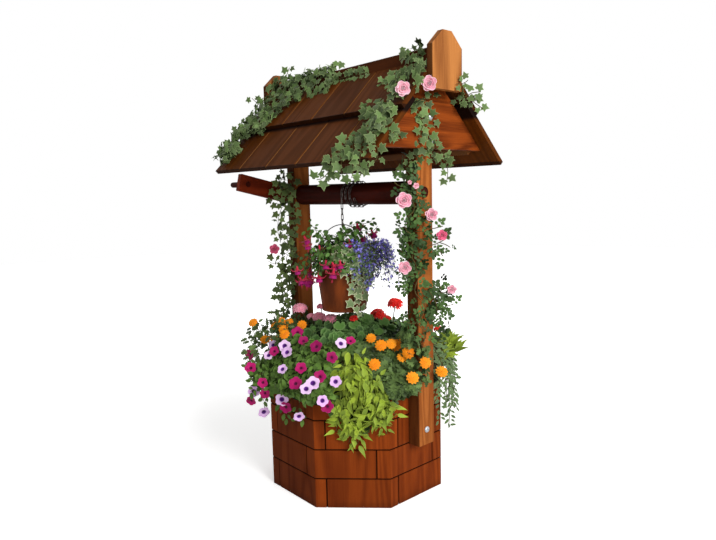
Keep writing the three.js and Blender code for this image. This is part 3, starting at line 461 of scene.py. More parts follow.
# %% Helpers for edit mode
def only(*pieces):
    """Selects these pieces and no others, and makes the first one active."""
    bpy.ops.object.select_all(action="DESELECT")
    for piece in pieces:
        piece.select_set(True)
    bpy.context.view_layer.objects.active = pieces[0]
    return pieces[0]


def primitive(name, shape, **sizes):
    """A new primitive, named, with nothing else selected."""
    bpy.ops.object.select_all(action="DESELECT")
    shape(**sizes)
    made = only(bpy.context.active_object)
    made.name = made.data.name = name
    return made


def pick(piece, test):
    """In edit mode, selects the points that pass the test and nothing else, and tells where they are."""
    bpy.context.tool_settings.mesh_select_mode = (True, False, False)
    shape = bmesh.from_edit_mesh(piece.data)
    shape.verts.index_update()
    for item in [*shape.faces, *shape.edges, *shape.verts]:
        item.select = False
    picked = [point for point in shape.verts if test(point)]
    for point in picked:
        point.select_set(True)
    shape.select_flush_mode()
    bmesh.update_edit_mesh(piece.data)
    return [point.co.copy() for point in picked]


def settle(piece, smooth=40):
    """Puts a finished piece's place into its mesh and smooths it up to an angle."""
    bpy.ops.object.mode_set(mode="OBJECT")
    only(piece)
    bpy.ops.object.transform_apply(location=True, rotation=True, scale=True)
    bpy.ops.object.mode_set(mode="EDIT")
    bpy.ops.mesh.select_all(action="SELECT")
    bpy.ops.mesh.normals_make_consistent(inside=False)
    bpy.ops.object.mode_set(mode="OBJECT")
    bpy.ops.object.shade_smooth_by_angle(angle=math.radians(smooth))
    return piece


def turned(name, rings, sides, smooth=40):
    """A disc at the first ring, extruded through the others. A ring is a radius and a height on Z."""
    radius, height = rings[0]
    made = primitive(name, bpy.ops.mesh.primitive_circle_add, vertices=sides, radius=radius, fill_type="NGON",
                     location=(0, 0, height))
    bpy.ops.object.mode_set(mode="EDIT")
    bpy.ops.mesh.select_all(action="SELECT")
    for next_radius, next_height in rings[1:]:
        bpy.ops.mesh.extrude_region_move(TRANSFORM_OT_translate={"value": (0, 0, next_height - height)})
        share = next_radius / radius
        bpy.ops.transform.resize(value=(share, share, 1), center_override=(0, 0, next_height))
        radius, height = next_radius, next_height
    return settle(made, smooth)


def lay_along_x(piece, turn, place):
    """Turns a piece made on Z to lie along X, rolls it about X and moves it to its place."""
    rolled = Matrix.Translation(place) @ Matrix.Rotation(turn, 4, "X")
    piece.data.transform(rolled @ Matrix.Rotation(math.pi / 2, 4, "Y"))
    return piece


def finish_piece(piece, material, body, finish, *stands_for):
    """Gives a piece its material and its body, and hides the CAD nodes that it stands for."""
    piece.data.materials.clear()
    piece.data.materials.append(material)
    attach(piece, body)
    if stands_for:
        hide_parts(*stands_for)
    print(piece.name, len(piece.data.polygons), "faces")
    return piece


# %% [markdown]
# ### The windlass
# A round pole turned down to a journal at each end. Its near journal is bored for the crank's screw, so its
# profile starts at the bottom of that hole. The crank's board keeps its CAD form.

# %% Turn the roller, handle and screw
AXLE = Vector((0, 0, 0.967))
ARM_LIFT = math.radians(-13)
ARM_OUTER = 0.3783
BARREL_END = 0.2795
HANDLE_REACH = 0.188

roller_rings = [
    (0.0042, -ARM_OUTER + 0.0603), (0.0042, -ARM_OUTER), (0.0155, -ARM_OUTER), (0.0165, -ARM_OUTER + 0.001),
    (0.0165, -BARREL_END), (0.0335, -BARREL_END), (0.0355, -BARREL_END + 0.002), (0.0358, -0.12),
    (0.0352, 0.0), (0.0357, 0.13), (0.0355, BARREL_END - 0.002), (0.0335, BARREL_END), (0.0165, BARREL_END),
    (0.0165, 0.326), (0.0155, 0.327),
]
handle_rings = [
    (0.006, -0.4683), (0.0086, -0.4676), (0.0098, -0.466), (0.0100, -0.463), (0.0104, -0.43), (0.0106, -0.41),
    (0.0102, -0.39), (0.0100, -0.379), (0.0099, -0.3585),
]
screw_rings = [
    (0.0036, -0.3185), (0.004, -0.3195), (0.004, -0.3786), (0.0106, -0.3786), (0.011, -0.379),
    (0.011, -0.380), (0.0104, -0.3818), (0.0086, -0.3832), (0.005, -0.3836),
]
handle_place = AXLE + Matrix.Rotation(ARM_LIFT, 3, "X") @ Vector((0, -HANDLE_REACH, 0))
roller_stain = timber("roller_stain", (72, 20, 10), (34, 8, 4), "along_ridge", lines=0.4, fibres=0.5, blotches=0.8,
                      scale=9.0, gloss=0.05)
dress(timber("crank_stain", (146, 54, 24), (84, 23, 10), "across", lines=0.5, fibres=0.4, blotches=0.7, scale=9.0,
             gloss=0.05), "crank_arm")
for name, rings, sides, turn, place, material, finish, node in (
    ("turned_roller", roller_rings, 48, ARM_LIFT, AXLE, roller_stain, "roller_wood", "windlass_roller"),
    ("crank_handle_turned", handle_rings, 32, 0, handle_place, roller_stain, "roller_wood", "crank_handle"),
    ("crank_screw_turned", screw_rings, 32, ARM_LIFT, AXLE, zinc, "zinc", "crank_screw"),
):
    finish_piece(lay_along_x(turned(name, rings, sides), turn, place), material, "windlass", finish, node)

# %% [markdown]
# ### Coach bolts
# A coach bolt has a domed head with no slot, and a washer and a nut behind the timber. One is modelled along
# Z, head up, for each of the six places. The nut starts as a six-sided disc.

# %% Model the coach bolts
def copy_of(piece, name, matrix):
    """A copy with its own mesh, moved by a matrix."""
    made = piece.copy()
    made.data = piece.data.copy()
    made.name = made.data.name = name
    made.data.transform(matrix)
    bpy.context.scene.collection.objects.link(made)
    return made


def joined(parts):
    only(*parts)
    if len(parts) > 1:
        bpy.ops.object.join()
    return parts[0]


def coach_bolt(name, grip):
    """A bolt whose head sits at 0 and whose washer starts grip below it."""
    shank = turned(name, [
        (0.0034, -grip - 0.0095), (0.0040, -grip - 0.0088), (0.0040, -0.0005), (0.0094, -0.0003),
        (0.0100, 0.0002), (0.0098, 0.0014), (0.0088, 0.0028), (0.0068, 0.0040), (0.0042, 0.0048), (0.0015, 0.0050),
    ], 32, 50)
    washer = turned("washer", [(0.0086, -grip - 0.0018), (0.0090, -grip - 0.0015), (0.0090, -grip - 0.0006),
                               (0.0086, -grip - 0.0003)], 32)
    nut = turned("nut", [(0.0066, -grip - 0.0079), (0.0075, -grip - 0.0072), (0.0075, -grip - 0.0026),
                         (0.0066, -grip - 0.0019)], 6, 20)
    return joined([shank, washer, nut])


def bolt_up(node, outer, inner):
    """A bolt through the timbers between two X values, its head on the outer one."""
    low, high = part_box(node)
    middle = (low + high) / 2
    bolt = coach_bolt(node + "_turned", abs(outer - inner))
    turn = Matrix.Rotation(math.copysign(math.pi / 2, outer), 4, "Y")
    bolt.data.transform(Matrix.Translation((outer, middle.y, middle.z)) @ turn)
    finish_piece(bolt, zinc, "structure", "zinc", node)


PANEL_INSIDE, POST_INSIDE, POST_OUTSIDE, GABLE_OUTSIDE = 0.2600, 0.2823, 0.3273, 0.3526
for hand, away in (("left", -1), ("right", 1)):
    bolt_up(f"base_bolt_{hand}", away * POST_OUTSIDE, away * PANEL_INSIDE)
    for row in (1, 2):
        bolt_up(f"gable_bolt_{hand}_{row}", away * GABLE_OUTSIDE, away * POST_INSIDE)

# %% [markdown]
# ### The chain
# A link is bent from wire and welded. Here it is a ring whose upper and lower halves are pulled apart, which
# gives it straight sides. The links hang a quarter turn from each other, and go on round the roller.

# %% Bend one link and hang five
LINK_WIRE, LINK_LENGTH, LINK_WIDTH, LINK_PITCH = 0.0028, 0.024, 0.0096, 0.0181
CHAIN = Vector((-0.008, -0.0403, 0.9572))
BUCKET_TURN = math.radians(20)


def link(name, around, across):
    made = primitive(
        name, bpy.ops.mesh.primitive_torus_add, major_radius=(LINK_WIDTH - LINK_WIRE) / 2, minor_radius=LINK_WIRE / 2,
        major_segments=around, minor_segments=across, rotation=(math.radians(90), 0, 0),
    )
    bpy.ops.object.transform_apply(location=True, rotation=True, scale=True)
    bpy.ops.object.mode_set(mode="EDIT")
    for way in (1, -1):
        pick(made, lambda point: point.co.z * way > 1e-6)
        bpy.ops.transform.translate(value=(0, 0, way * (LINK_LENGTH - LINK_WIDTH) / 2))
    return settle(made, 60)


fine_link = link("fine_link", 25, 12)
for number in range(5):
    middle = CHAIN - Vector((0, 0, LINK_LENGTH / 2 + number * LINK_PITCH))
    quarter = math.pi / 2 if number % 2 == 0 else 0
    place = Matrix.Translation(middle) @ Matrix.Rotation(BUCKET_TURN + quarter, 4, "Z")
    hung = copy_of(fine_link, f"hanging_link_{number + 1}", place)
    finish_piece(hung, steel, "chain", "chain_steel", f"chain_link_{number + 1}")

# %% Wind links on the roller
TURNS, TURN_PITCH, TURN_RADIUS = 3, 0.021, 0.0403
turn_length = math.hypot(TURN_RADIUS * 2 * math.pi, TURN_PITCH)
coarse_link = link("coarse_link", 17, 8)


def on_winding(at):
    """The place of the chain at a length along its winding."""
    turn = max(at, 0) / turn_length * 2 * math.pi
    across = CHAIN.x + TURN_PITCH * max(turn - math.pi / 4, 0) / (2 * math.pi)
    if at < 0:
        return Vector((across, -TURN_RADIUS, AXLE.z + at))
    return Vector((across, -TURN_RADIUS * math.cos(turn), AXLE.z + TURN_RADIUS * math.sin(turn)))


wound = []
length = CHAIN.z - LINK_LENGTH / 2 - AXLE.z + LINK_PITCH
while length < TURNS * turn_length - LINK_LENGTH / 2:
    middle, direction = on_winding(length), (on_winding(length + 0.001) - on_winding(length - 0.001)).normalized()
    flat = Vector((0, middle.y, middle.z - AXLE.z)).normalized()
    if len(wound) % 2 == 0:
        flat = direction.cross(flat).normalized()
    side = flat.cross(direction).normalized()
    turn = Matrix((flat, side, direction)).transposed().to_4x4()
    wound.append(copy_of(coarse_link, f"wound_link_{len(wound)}", Matrix.Translation(middle) @ turn))
    length += LINK_PITCH
wound = joined(wound)
wound.name = wound.data.name = "wound_links"
finish_piece(wound, steel, "windlass", "chain_steel", "wound_chain")

# %% [markdown]
# ### The pail and its bail
# The pail is spun from sheet, with a bead at its foot and its rim rolled over a wire. The bail is one bent
# rod that is hooked through both ears.

# %% Spin the pail
RIM_HEIGHT, FOOT_HEIGHT = 0.729, 0.579
pail_rings = [
    (0.0740, FOOT_HEIGHT), (0.0752, FOOT_HEIGHT + 0.0006), (0.0760, FOOT_HEIGHT + 0.0022),
    (0.0758, FOOT_HEIGHT + 0.0040), (0.0748, FOOT_HEIGHT + 0.0056), (0.0750, FOOT_HEIGHT + 0.0080),
    (0.0785, 0.610), (0.0822, 0.640), (0.0860, 0.670), (0.0898, 0.700), (0.0920, RIM_HEIGHT - 0.0070),
    (0.0936, RIM_HEIGHT - 0.0058), (0.0952, RIM_HEIGHT - 0.0046), (0.0960, RIM_HEIGHT - 0.0028),
    (0.0957, RIM_HEIGHT - 0.0012), (0.0944, RIM_HEIGHT - 0.0001), (0.0928, RIM_HEIGHT - 0.0001),
    (0.0916, RIM_HEIGHT - 0.0012), (0.0913, RIM_HEIGHT - 0.0040), (0.0728, FOOT_HEIGHT + 0.0018),
    (0.0500, FOOT_HEIGHT + 0.0015),
]
pail = turned("spun_pail", pail_rings, 72, 50)
bucket_place = Matrix.Translation((CHAIN.x, CHAIN.y, 0)) @ Matrix.Rotation(BUCKET_TURN, 4, "Z")
pail.data.transform(bucket_place)
finish_piece(pail, copper, "bucket", "aged_copper", "bucket_shell")

# %% Bend the bail
EAR_HEIGHT, BAIL_TOP, BAIL_BEND, BAIL_HOOK = 0.734, 0.8659, 0.006, 0.012
RIM_RADIUS, RIM_ROLL, EAR_GAP, EAR_SHEET = 0.093, 0.003, 0.0003, 0.0025
BAIL_X = RIM_RADIUS + RIM_ROLL + EAR_GAP + EAR_SHEET + BAIL_BEND


def rod(name, paths, radius, roundness=3):
    """Bent wires: smooth curves through the points, given their thickness and made a mesh."""
    line = bpy.data.curves.new(name, "CURVE")
    line.dimensions, line.bevel_depth, line.bevel_resolution, line.use_fill_caps = "3D", radius, roundness, True
    for points in paths:
        spline = line.splines.new("POLY")
        spline.points.add(len(points) - 1)
        for knot, point in zip(spline.points, points):
            knot.co = (*point, 1)
    only(add(name, line))
    bpy.ops.object.convert(target="MESH")
    return settle(bpy.context.active_object, 60)


half = [(BAIL_X - BAIL_HOOK + 0.006 * i / 3, 0) for i in range(3)]
half += [(BAIL_X - BAIL_BEND + math.sin(t) * BAIL_BEND, BAIL_BEND - math.cos(t) * BAIL_BEND)
         for t in (i / 8 * math.pi / 2 for i in range(9))]
half += [(BAIL_X * math.cos(t), BAIL_BEND + (BAIL_TOP - EAR_HEIGHT - BAIL_BEND) * math.sin(t))
         for t in (i / 24 * math.pi / 2 for i in range(1, 25))]
bail_path = [bucket_place @ Vector((x, 0, EAR_HEIGHT + z)) for x, z in half + [(-x, z) for x, z in half[-2::-1]]]
finish_piece(rod("bent_bail", [bail_path], 0.0016), steel, "bail", "chain_steel", "bucket_bail")
dress(steel, "bucket_ear_1", "bucket_ear_2")

# %% [markdown]
# ## Soil and liner
# Potting soil is dark crumbs with paler bark. The liner is a black film that only shows at the rim.

# %% Paint the soil and the liner
def soil_paint(tree):
    here = place_in(tree)
    distance, crumbs = put(tree, "TexVoronoi", {"Vector": here, "Scale": 160.0}, ("Distance", "Color"))
    lumps = noise(here, 45.0, 6.0)
    bark = put(tree, "SeparateColor", {0: crumbs}).do("GREATER_THAN", 0.86)
    tone = mix(lumps, colour(30, 20, 13), colour(66, 46, 30))
    return {"Base Color": mix(bark, tone, colour(112, 78, 48)), "Roughness": 0.95,
            "Normal": bumps(lumps + distance * 12.0, 0.8, 0.003)}


def film_paint(tree):
    folds = noise(place_in(tree), 30.0)
    return {"Base Color": mix(folds, colour(16, 16, 16), colour(38, 38, 38)), "Roughness": 0.4,
            "Normal": bumps(folds, 0.5, 0.002)}


dress(new_material("potting_mix", soil_paint), "potting_soil", "bucket_soil")
dress(new_material("black_film", film_paint), "planter_liner")

# %% [markdown]
# ## Plants
# Each kind of leaf and flower is modelled once, a unit long, as a thin closed body with few faces, because
# hundreds of copies follow. A copy's place in the leaf, its tint and its depth in the foliage go along as
# attributes, and the paints read them: veins and pale edges need the first, variety the second, and the
# third paints shade on the leaves that lie deep.

# %% Helpers that shape a leaf
PARKED = 10


def mark(piece, reach):
    """Writes each point's place in the leaf, and how near it is to the rim, as attributes."""
    spot = piece.data.attributes.new("leaf", "FLOAT_VECTOR", "POINT")
    rim = piece.data.attributes.new("rim", "FLOAT", "POINT")
    for number, point in enumerate(piece.data.vertices):
        spot.data[number].vector = point.co
        rim.data[number].value = reach(point.co.x, point.co.y)
    return piece


def thicken(piece, thickness):
    """Extrudes a flat shape into a thin closed body, and ends edit mode."""
    bpy.ops.mesh.select_all(action="SELECT")
    bpy.ops.mesh.extrude_region_move(TRANSFORM_OT_translate={"value": (0, 0, -thickness)})
    return settle(piece, 60)


def lobed(name, outline, heart, thickness=0.02):
    """A leaf or petal from a disc: its points go to the outline, and a poked middle point gives it folds."""
    made = primitive(name, bpy.ops.mesh.primitive_circle_add, vertices=len(outline), radius=0.5, fill_type="NGON")

    def carry(number, goal):
        place, = pick(made, lambda point: point.index == number)
        bpy.ops.transform.translate(value=Vector(goal) - place)
    bpy.ops.object.mode_set(mode="EDIT")
    for number, corner in enumerate(outline):
        carry(number, corner)
    bpy.ops.mesh.select_all(action="SELECT")
    bpy.ops.mesh.poke()
    carry(len(outline), heart)
    return mark(thicken(made, thickness), lambda x, y: 0 if math.hypot(x - heart[0], y - heart[1]) < 0.01 else 1)


def strip(name, rows, fold, thickness=0.02):
    """A leaf from a grid two faces wide. A row is its place along the leaf, its half width and its height. Rows
    that are in place are parked far off until the last one is."""
    made = primitive(name, bpy.ops.mesh.primitive_grid_add, x_subdivisions=2, y_subdivisions=len(rows) - 1, size=1)
    bpy.ops.object.mode_set(mode="EDIT")
    for number, (along, half_width, height) in enumerate(rows):
        level = number / (len(rows) - 1) - 0.5
        pick(made, lambda point: abs(point.co.y - level) < 1e-4 and abs(point.co.z) < 1e-6)
        share = max(half_width, 0.002) / 0.5
        bpy.ops.transform.resize(value=(share, 1, 1), center_override=(0, level, 0))
        bpy.ops.transform.translate(value=(0, along - level + PARKED, height))
    bpy.ops.mesh.select_all(action="SELECT")
    bpy.ops.transform.translate(value=(0, -PARKED, 0))
    pick(made, lambda point: abs(point.co.x) < 1e-5)
    bpy.ops.transform.translate(value=(0, 0, -fold))
    bpy.ops.mesh.select_all(action="SELECT")
    bpy.ops.mesh.remove_doubles(threshold=0.006)
    return mark(thicken(made, thickness), lambda x, y: 0 if abs(x) < 1e-3 and y < 0.99 else 1)


def mirrored(*half):
    """A whole outline from its left half, which runs from the leaf's foot to its tip."""
    return [*half, *((-x, y, z) for x, y, z in half[-2:0:-1])]


def starry(points, radii, lift=0.0):
    """An outline round the origin whose radii repeat."""
    turns = ((number / points * 2 * math.pi, radii[number % len(radii)]) for number in range(points))
    return [(math.sin(turn) * radius, math.cos(turn) * radius, lift * radius) for turn, radius in turns]


# %% Model the leaves
ivy_leaf = lobed("ivy_leaf", mirrored(
    (0, 0.03, 0), (-0.22, -0.10, -0.02), (-0.46, -0.02, -0.07), (-0.36, 0.22, 0), (-0.60, 0.46, -0.09),
    (-0.25, 0.56, 0), (0, 1.0, -0.13),
), (0, 0.26, 0.05))
round_leaf = lobed("round_leaf", mirrored(
    (0, 0.06, -0.05), (-0.16, -0.16, 0.02), (-0.42, -0.14, 0.05), (-0.50, 0.10, 0.0), (-0.64, 0.30, 0.07),
    (-0.54, 0.54, 0.02), (-0.46, 0.78, 0.08), (-0.22, 0.82, 0.02), (0, 0.95, 0.07),
), (0, 0.28, -0.06))
feather_leaf = lobed("feather_leaf", mirrored(
    (0, 0, 0), (-0.06, 0.10, 0), (-0.32, 0.20, 0.03), (-0.11, 0.31, 0), (-0.40, 0.44, 0.04), (-0.12, 0.54, 0),
    (-0.36, 0.70, 0.03), (-0.10, 0.74, 0), (-0.18, 0.92, 0), (0, 1.0, -0.04),
), (0, 0.42, -0.02))
oval_leaf = strip("oval_leaf", [(0, 0, 0), (0.18, 0.20, 0.03), (0.48, 0.30, 0.06), (0.80, 0.18, 0.02),
                                (1, 0, -0.06)], 0.04)
blade_leaf = strip("blade_leaf", [(0, 0, 0), (0.10, 0.12, 0.03), (0.28, 0.18, 0.07), (0.52, 0.13, 0.07),
                                  (0.78, 0.06, 0.02), (1, 0, -0.10)], 0.04, 0.012)
small_leaf = strip("small_leaf", [(0, 0, 0), (0.3, 0.22, 0.03), (0.7, 0.20, 0.02), (1, 0, -0.05)], 0.03, 0.03)
leaves = [ivy_leaf, round_leaf, feather_leaf, oval_leaf, blade_leaf, small_leaf]
print({leaf.name: len(leaf.data.polygons) for leaf in leaves})


# %% [markdown]
# ### Flowers
# A petunia is a trumpet, so it is turned, and its rim is drawn in at five notches. The others are flat petals
# that are set round a middle: a marigold is a pile of ruffled discs, a rose is whorls that close inwards.

# %% Model the flowers
def petals_from(name, rings, sides, notches, depth):
    """A turned flower whose rim is drawn in at its notches."""
    made = turned(name, rings, sides, 50)
    reach = max(radius for radius, _ in rings)

    def at_notch(point):
        turn = math.atan2(point.co.y, point.co.x) / (2 * math.pi) * notches
        return math.hypot(point.co.x, point.co.y) > reach * 0.9 and abs(turn - round(turn)) < 0.1
    bpy.ops.object.mode_set(mode="EDIT")
    pick(made, at_notch)
    bpy.ops.transform.resize(value=(depth, depth, 1), center_override=(0, 0, 0))
    return mark(settle(made, 50), lambda x, y: min(math.hypot(x, y) / reach, 1))


def whorl(petal, count, size, tilt, lift, turn=0.0):
    """Petals set round in a ring, each tilted up from flat."""
    return [copy_of(petal, f"petal_{number}", Matrix.Translation((0, 0, lift))
                    @ Matrix.Rotation(turn + number / count * 2 * math.pi, 4, "Z")
                    @ Matrix.Rotation(math.radians(tilt), 4, "X") @ Matrix.Scale(size, 4)) for number in range(count)]


petunia = petals_from("petunia", [
    (0.10, -1.1), (0.16, -0.7), (0.26, -0.3), (0.60, -0.05), (1.0, 0.03), (0.98, 0.07), (0.55, 0.02), (0.26, -0.12),
    (0.09, -0.45),
], 15, 5, 0.84)
floret = lobed("floret", starry(15, (0.5, 0.5, 0.2), 0.16), (0, 0, -0.06), 0.05)
frill = lobed("frill", starry(22, (0.5, 0.40)), (0, 0, -0.04), 0.04)
lobelia = lobed("lobelia", mirrored(
    (0, -0.55, -0.05), (-0.24, -0.42, 0), (-0.22, -0.16, 0), (-0.56, -0.12, -0.05), (-0.34, 0.10, 0),
    (-0.16, 0.42, 0.04), (0, 0.14, 0),
), (0, 0, -0.08), 0.06)
rose_petal = lobed("rose_petal", mirrored(
    (0, 0, 0), (-0.34, 0.22, 0.05), (-0.50, 0.62, 0.13), (-0.26, 0.94, 0.10), (0, 1.0, 0.06),
), (0, 0.55, -0.08), 0.03)

FRILLS = ((2.0, 0.0, 1), (1.72, 0.14, 3), (1.36, 0.26, 3), (0.95, 0.36, 3), (0.5, 0.43, 3))
WHORLS = ((5, 0.95, 12, 0.0), (5, 0.82, 32, 0.03, 0.6), (5, 0.66, 52, 0.05, 0.2), (4, 0.52, 68, 0.08, 0.9),
          (3, 0.42, 82, 0.10, 0.3))
marigold = joined([
    copy_of(frill, f"frill_{row}", Matrix.Translation((0, 0, lift)) @ Matrix.Rotation(row * 0.16, 4, "Z")
            @ Matrix.Diagonal((size, size, flare, 1))) for row, (size, lift, flare) in enumerate(FRILLS)
])
rose_bloom = joined([petal for ring in WHORLS for petal in whorl(rose_petal, *ring)])


# %% Model a fuchsia and a rose leaf
def fuchsia_flower():
    """A hanging flower: a thin tube, four swept sepals, a full skirt and long stamens. It hangs along -Y."""
    tube = turned("tube", [(0.05, 0), (0.07, -0.06), (0.08, -0.22), (0.11, -0.32), (0.06, -0.36)], 8)
    skirt = turned("skirt", [(0.08, -0.30), (0.17, -0.38), (0.23, -0.52), (0.25, -0.66), (0.20, -0.64),
                             (0.06, -0.5)], 10)
    sepals = [
        copy_of(blade_leaf, f"sepal_{number}", Matrix.Translation((0, 0, -0.30))
                @ Matrix.Rotation(number * math.pi / 2 + 0.4, 4, "Z") @ Matrix.Rotation(math.radians(-8), 4, "X")
                @ Matrix.Diagonal((1.15, 0.52, -1.2, 1)))
        for number in range(4)
    ]
    threads = rod("threads", [[(x * 0.3, y * 0.3, -0.55), (x, y, -0.95)] for x, y in
                              ((0.03, 0.02), (-0.05, 0.01), (0.01, -0.05))], 0.012, 0)
    for part, value in [(tube, 0.0), (skirt, 1.0), (threads, 0.3)] + [(sepal, 0.2) for sepal in sepals]:
        if part not in sepals:
            mark(part, lambda x, y: value)
        part.data.attributes["rim"].data.foreach_set("value", [value] * len(part.data.vertices))
    whole = settle(joined([tube, skirt, threads] + sepals), 50)
    whole.data.transform(Matrix.Rotation(math.radians(-90), 4, "X"))
    return whole


fuchsia = fuchsia_flower()
LEAFLETS = ((0.55, 0, 0.45), (0.45, 64, 0.38), (0.45, -64, 0.38), (0.15, 74, 0.34), (0.15, -74, 0.34))
rose_leaf = joined([
    copy_of(small_leaf, f"leaflet_{number}", Matrix.Translation((0, start, 0))
            @ Matrix.Rotation(math.radians(turn), 4, "Z") @ Matrix.Diagonal((size * 1.5, size, size, 1)))
    for number, (start, turn, size) in enumerate(LEAFLETS)
])
flowers = [petunia, floret, marigold, lobelia, rose_bloom, fuchsia]
print([len(piece.data.polygons) for piece in (*flowers, rose_leaf)], "faces")


# %% Helpers that plant the copies
SPILL_BELOW, SPILL_ABOVE = 0.013, 0.018
LOWEST, HIGHEST = np.array(cad_box[0]) - SPILL_BELOW, np.array(cad_box[1]) + SPILL_ABOVE


def numbers_of(items, name, width, kind=float):
    values = np.empty(len(items) * width, kind)
    items.foreach_get(name, values)
    return values.reshape(-1, width) if width > 1 else values


def finish_plant(piece, paint, slot, *stands_for):
    """Finishes a piece of a plant, which rides on the pail if its slot is the pail's."""
    return finish_piece(piece, paint, "bucket" if slot == "bucket_leaf" else "structure", slot, *stands_for)


def planted(name, kind, places, tints, shades=None):
    """One mesh that holds a copy of the kind's shape at each place, with the copy's tint and shade. A copy that
    would stand out of the model's box is moved back in."""
    shape, paint, slot = kind
    source, count = shape.data, len(places)
    points = numbers_of(source.vertices, "co", 3)
    corners = numbers_of(source.loops, "vertex_index", 1, np.int32)
    starts = numbers_of(source.polygons, "loop_start", 1, np.int32)
    world = np.einsum("nij,vj->nvi", places[:, :3, :3], points) + places[:, None, :3, 3]
    world -= (np.maximum(world.max(1) - HIGHEST, 0) - np.maximum(LOWEST - world.min(1), 0))[:, None]
    steps = np.arange(count, dtype=np.int32)[:, None]
    mesh = bpy.data.meshes.new(name)
    for items, field, values in (
        (mesh.vertices, "co", world), (mesh.loops, "vertex_index", corners[None] + steps * len(points)),
        (mesh.polygons, "loop_start", starts[None] + steps * len(corners)),
    ):
        items.add(values.shape[0] * values.shape[1])
        items.foreach_set(field, values.ravel())
    mesh.update(calc_edges=True)
    leaf = numbers_of(source.attributes["leaf"].data, "vector", 3)
    mesh.attributes.new("leaf", "FLOAT_VECTOR", "POINT").data.foreach_set("vector", np.tile(leaf, (count, 1)).ravel())
    for label, values in (
        ("rim", np.tile(numbers_of(source.attributes["rim"].data, "value", 1), count)),
        ("tint", np.repeat(tints, len(points))),
        ("shade", np.repeat(np.zeros(count) if shades is None else shades, len(points))),
    ):
        mesh.attributes.new(label, "FLOAT", "POINT").data.foreach_set("value", values)
    made = only(add(name, mesh))
    bpy.ops.object.shade_smooth_by_angle(angle=math.radians(60))
    return finish_plant(made, paint, slot)


def unit(vectors):
    return vectors / np.maximum(np.linalg.norm(vectors, axis=-1, keepdims=True), 1e-9)


def stand(points, facing, along, sizes):
    """A matrix for each copy: its face looks along facing, its tip points along along, as near as can be."""
    up = unit(facing)
    ahead = unit(along - (along * up).sum(1, keepdims=True) * up)
    places = np.zeros((len(points), 4, 4))
    for column, axis in enumerate((np.cross(ahead, up), ahead, up)):
        places[:, :3, column] = axis * np.reshape(sizes, (-1, 1))
    places[:, :3, 3], places[:, 3, 3] = points, 1
    return places


# %% [markdown]
# ### Paint for leaves and petals
# A leaf's colour runs between a fresh and a deep tone, its veins are paler or darker, and some kinds have a
# pale rim. A petal runs from its throat to its rim. Each is a group, and each kind of plant sets its values.

# %% Build the leaf and petal groups
def leaf_figure(tree, given):
    across, along, _ = given["leaf"].split()
    side = across.do("ABSOLUTE")
    ribs = (along * 7.0 - side * 6.0).do("PINGPONG", 0.5).span(0.0, 0.10, 1.0, 0.0)
    fan = (across.do("ARCTAN2", along + 0.02) * 1.6).do("PINGPONG", 0.5).span(0.0, 0.07, 1.0, 0.0)
    veins = side.span(0.0, 0.035, 1.0, 0.0).do("MAXIMUM", put(tree, "Mix", {0: given["Fan"], 2: ribs, 3: fan}))
    mottle = noise(given["leaf"], 5.0)
    tone = given["tint"].do("ADD", mottle.even(0.3, 0.7, -0.2, 0.2), clamp=True)
    shade = mix(tone, given["Deep"], given["Fresh"])
    shade = mix(veins * given["Veins"], shade, mix(0.45, shade, given["Edge"]))
    shade = mix((given["rim"] - given["Start"]).span(0.0, 0.12) * given["Share"], shade, given["Edge"])
    # Painted shade on the leaves that lie deep.
    shade = mix(given["shade"] * given["Dark"], shade, colour(10, 20, 8))
    return shade, mottle.even(0.3, 0.7, 0.42, 0.6), veins


def petal_figure(tree, given):
    across, along, _ = given["leaf"].split()
    rays = noise(put(tree, "CombineXYZ", {0: across.do("ARCTAN2", along) * 4.0, 1: given["rim"]}), 2.5)
    shade = mix(given["tint"], given["Face"], given["Second"])
    shade = mix((given["rim"] - given["Start"]).span(0.0, 0.25), shade, given["Edge"])
    reach = given["rim"] + (rays - 0.5) * given["Streaks"]
    return mix((given["Size"] - reach).span(-0.06, 0.06), shade, given["Throat"]), rays


leaf_group = new_group("leaf_figure", "leaf", "Fresh Deep Edge", "tint shade rim Start Share Veins Fan Dark",
                       "Colour Roughness Height", leaf_figure)
petal_group = new_group("petal_figure", "leaf", "Throat Face Second Edge", "tint rim Size Start Streaks",
                        "Colour Height", petal_figure)


def painted(name, group, sheen, attributes, colours, values):
    """A paint that feeds a group with attributes of the leaf or petal."""
    def build(tree):
        fed = {label: put(tree, "Attribute", {}, "Vector" if label == "leaf" else "Fac", attribute_name=label)
               for label in attributes.split()}
        fed.update({label: colour(*tone) for label, tone in colours.items()})
        shade, *rough, relief = use_group(tree, group, {**fed, **values})
        return {"Base Color": shade, "Roughness": rough[0] if rough else 0.6, "Specular IOR Level": 0.12,
                "Sheen Weight": sheen, "Normal": bumps(relief, 0.3, 0.0006)}
    return new_material(name, build)


def foliage(name, fresh, deep, edge, veins=0.5, share=0.0, start=0.8, fan=0.0, dark=0.75):
    return painted(name, leaf_group, 0.0, "leaf tint shade rim", {"Fresh": fresh, "Deep": deep, "Edge": edge},
                   {"Veins": veins, "Share": share, "Start": start, "Fan": fan, "Dark": dark})


def bloom(name, throat, face, second, edge, size=0.3, start=0.85, streaks=0.3):
    return painted(name, petal_group, 0.1, "leaf tint rim",
                   {"Throat": throat, "Face": face, "Second": second, "Edge": edge},
                   {"Size": size, "Start": start, "Streaks": streaks})


# %% [markdown]
# ### Where plants stand
# Three things say where a leaf or a flower goes: the CAD solid of its bed, an outline or a line drawn over
# the photograph and laid on that solid, and chance. What hangs free keeps the distance from the eye that it
# had where it left the solid, and a stem ties it to its plant.

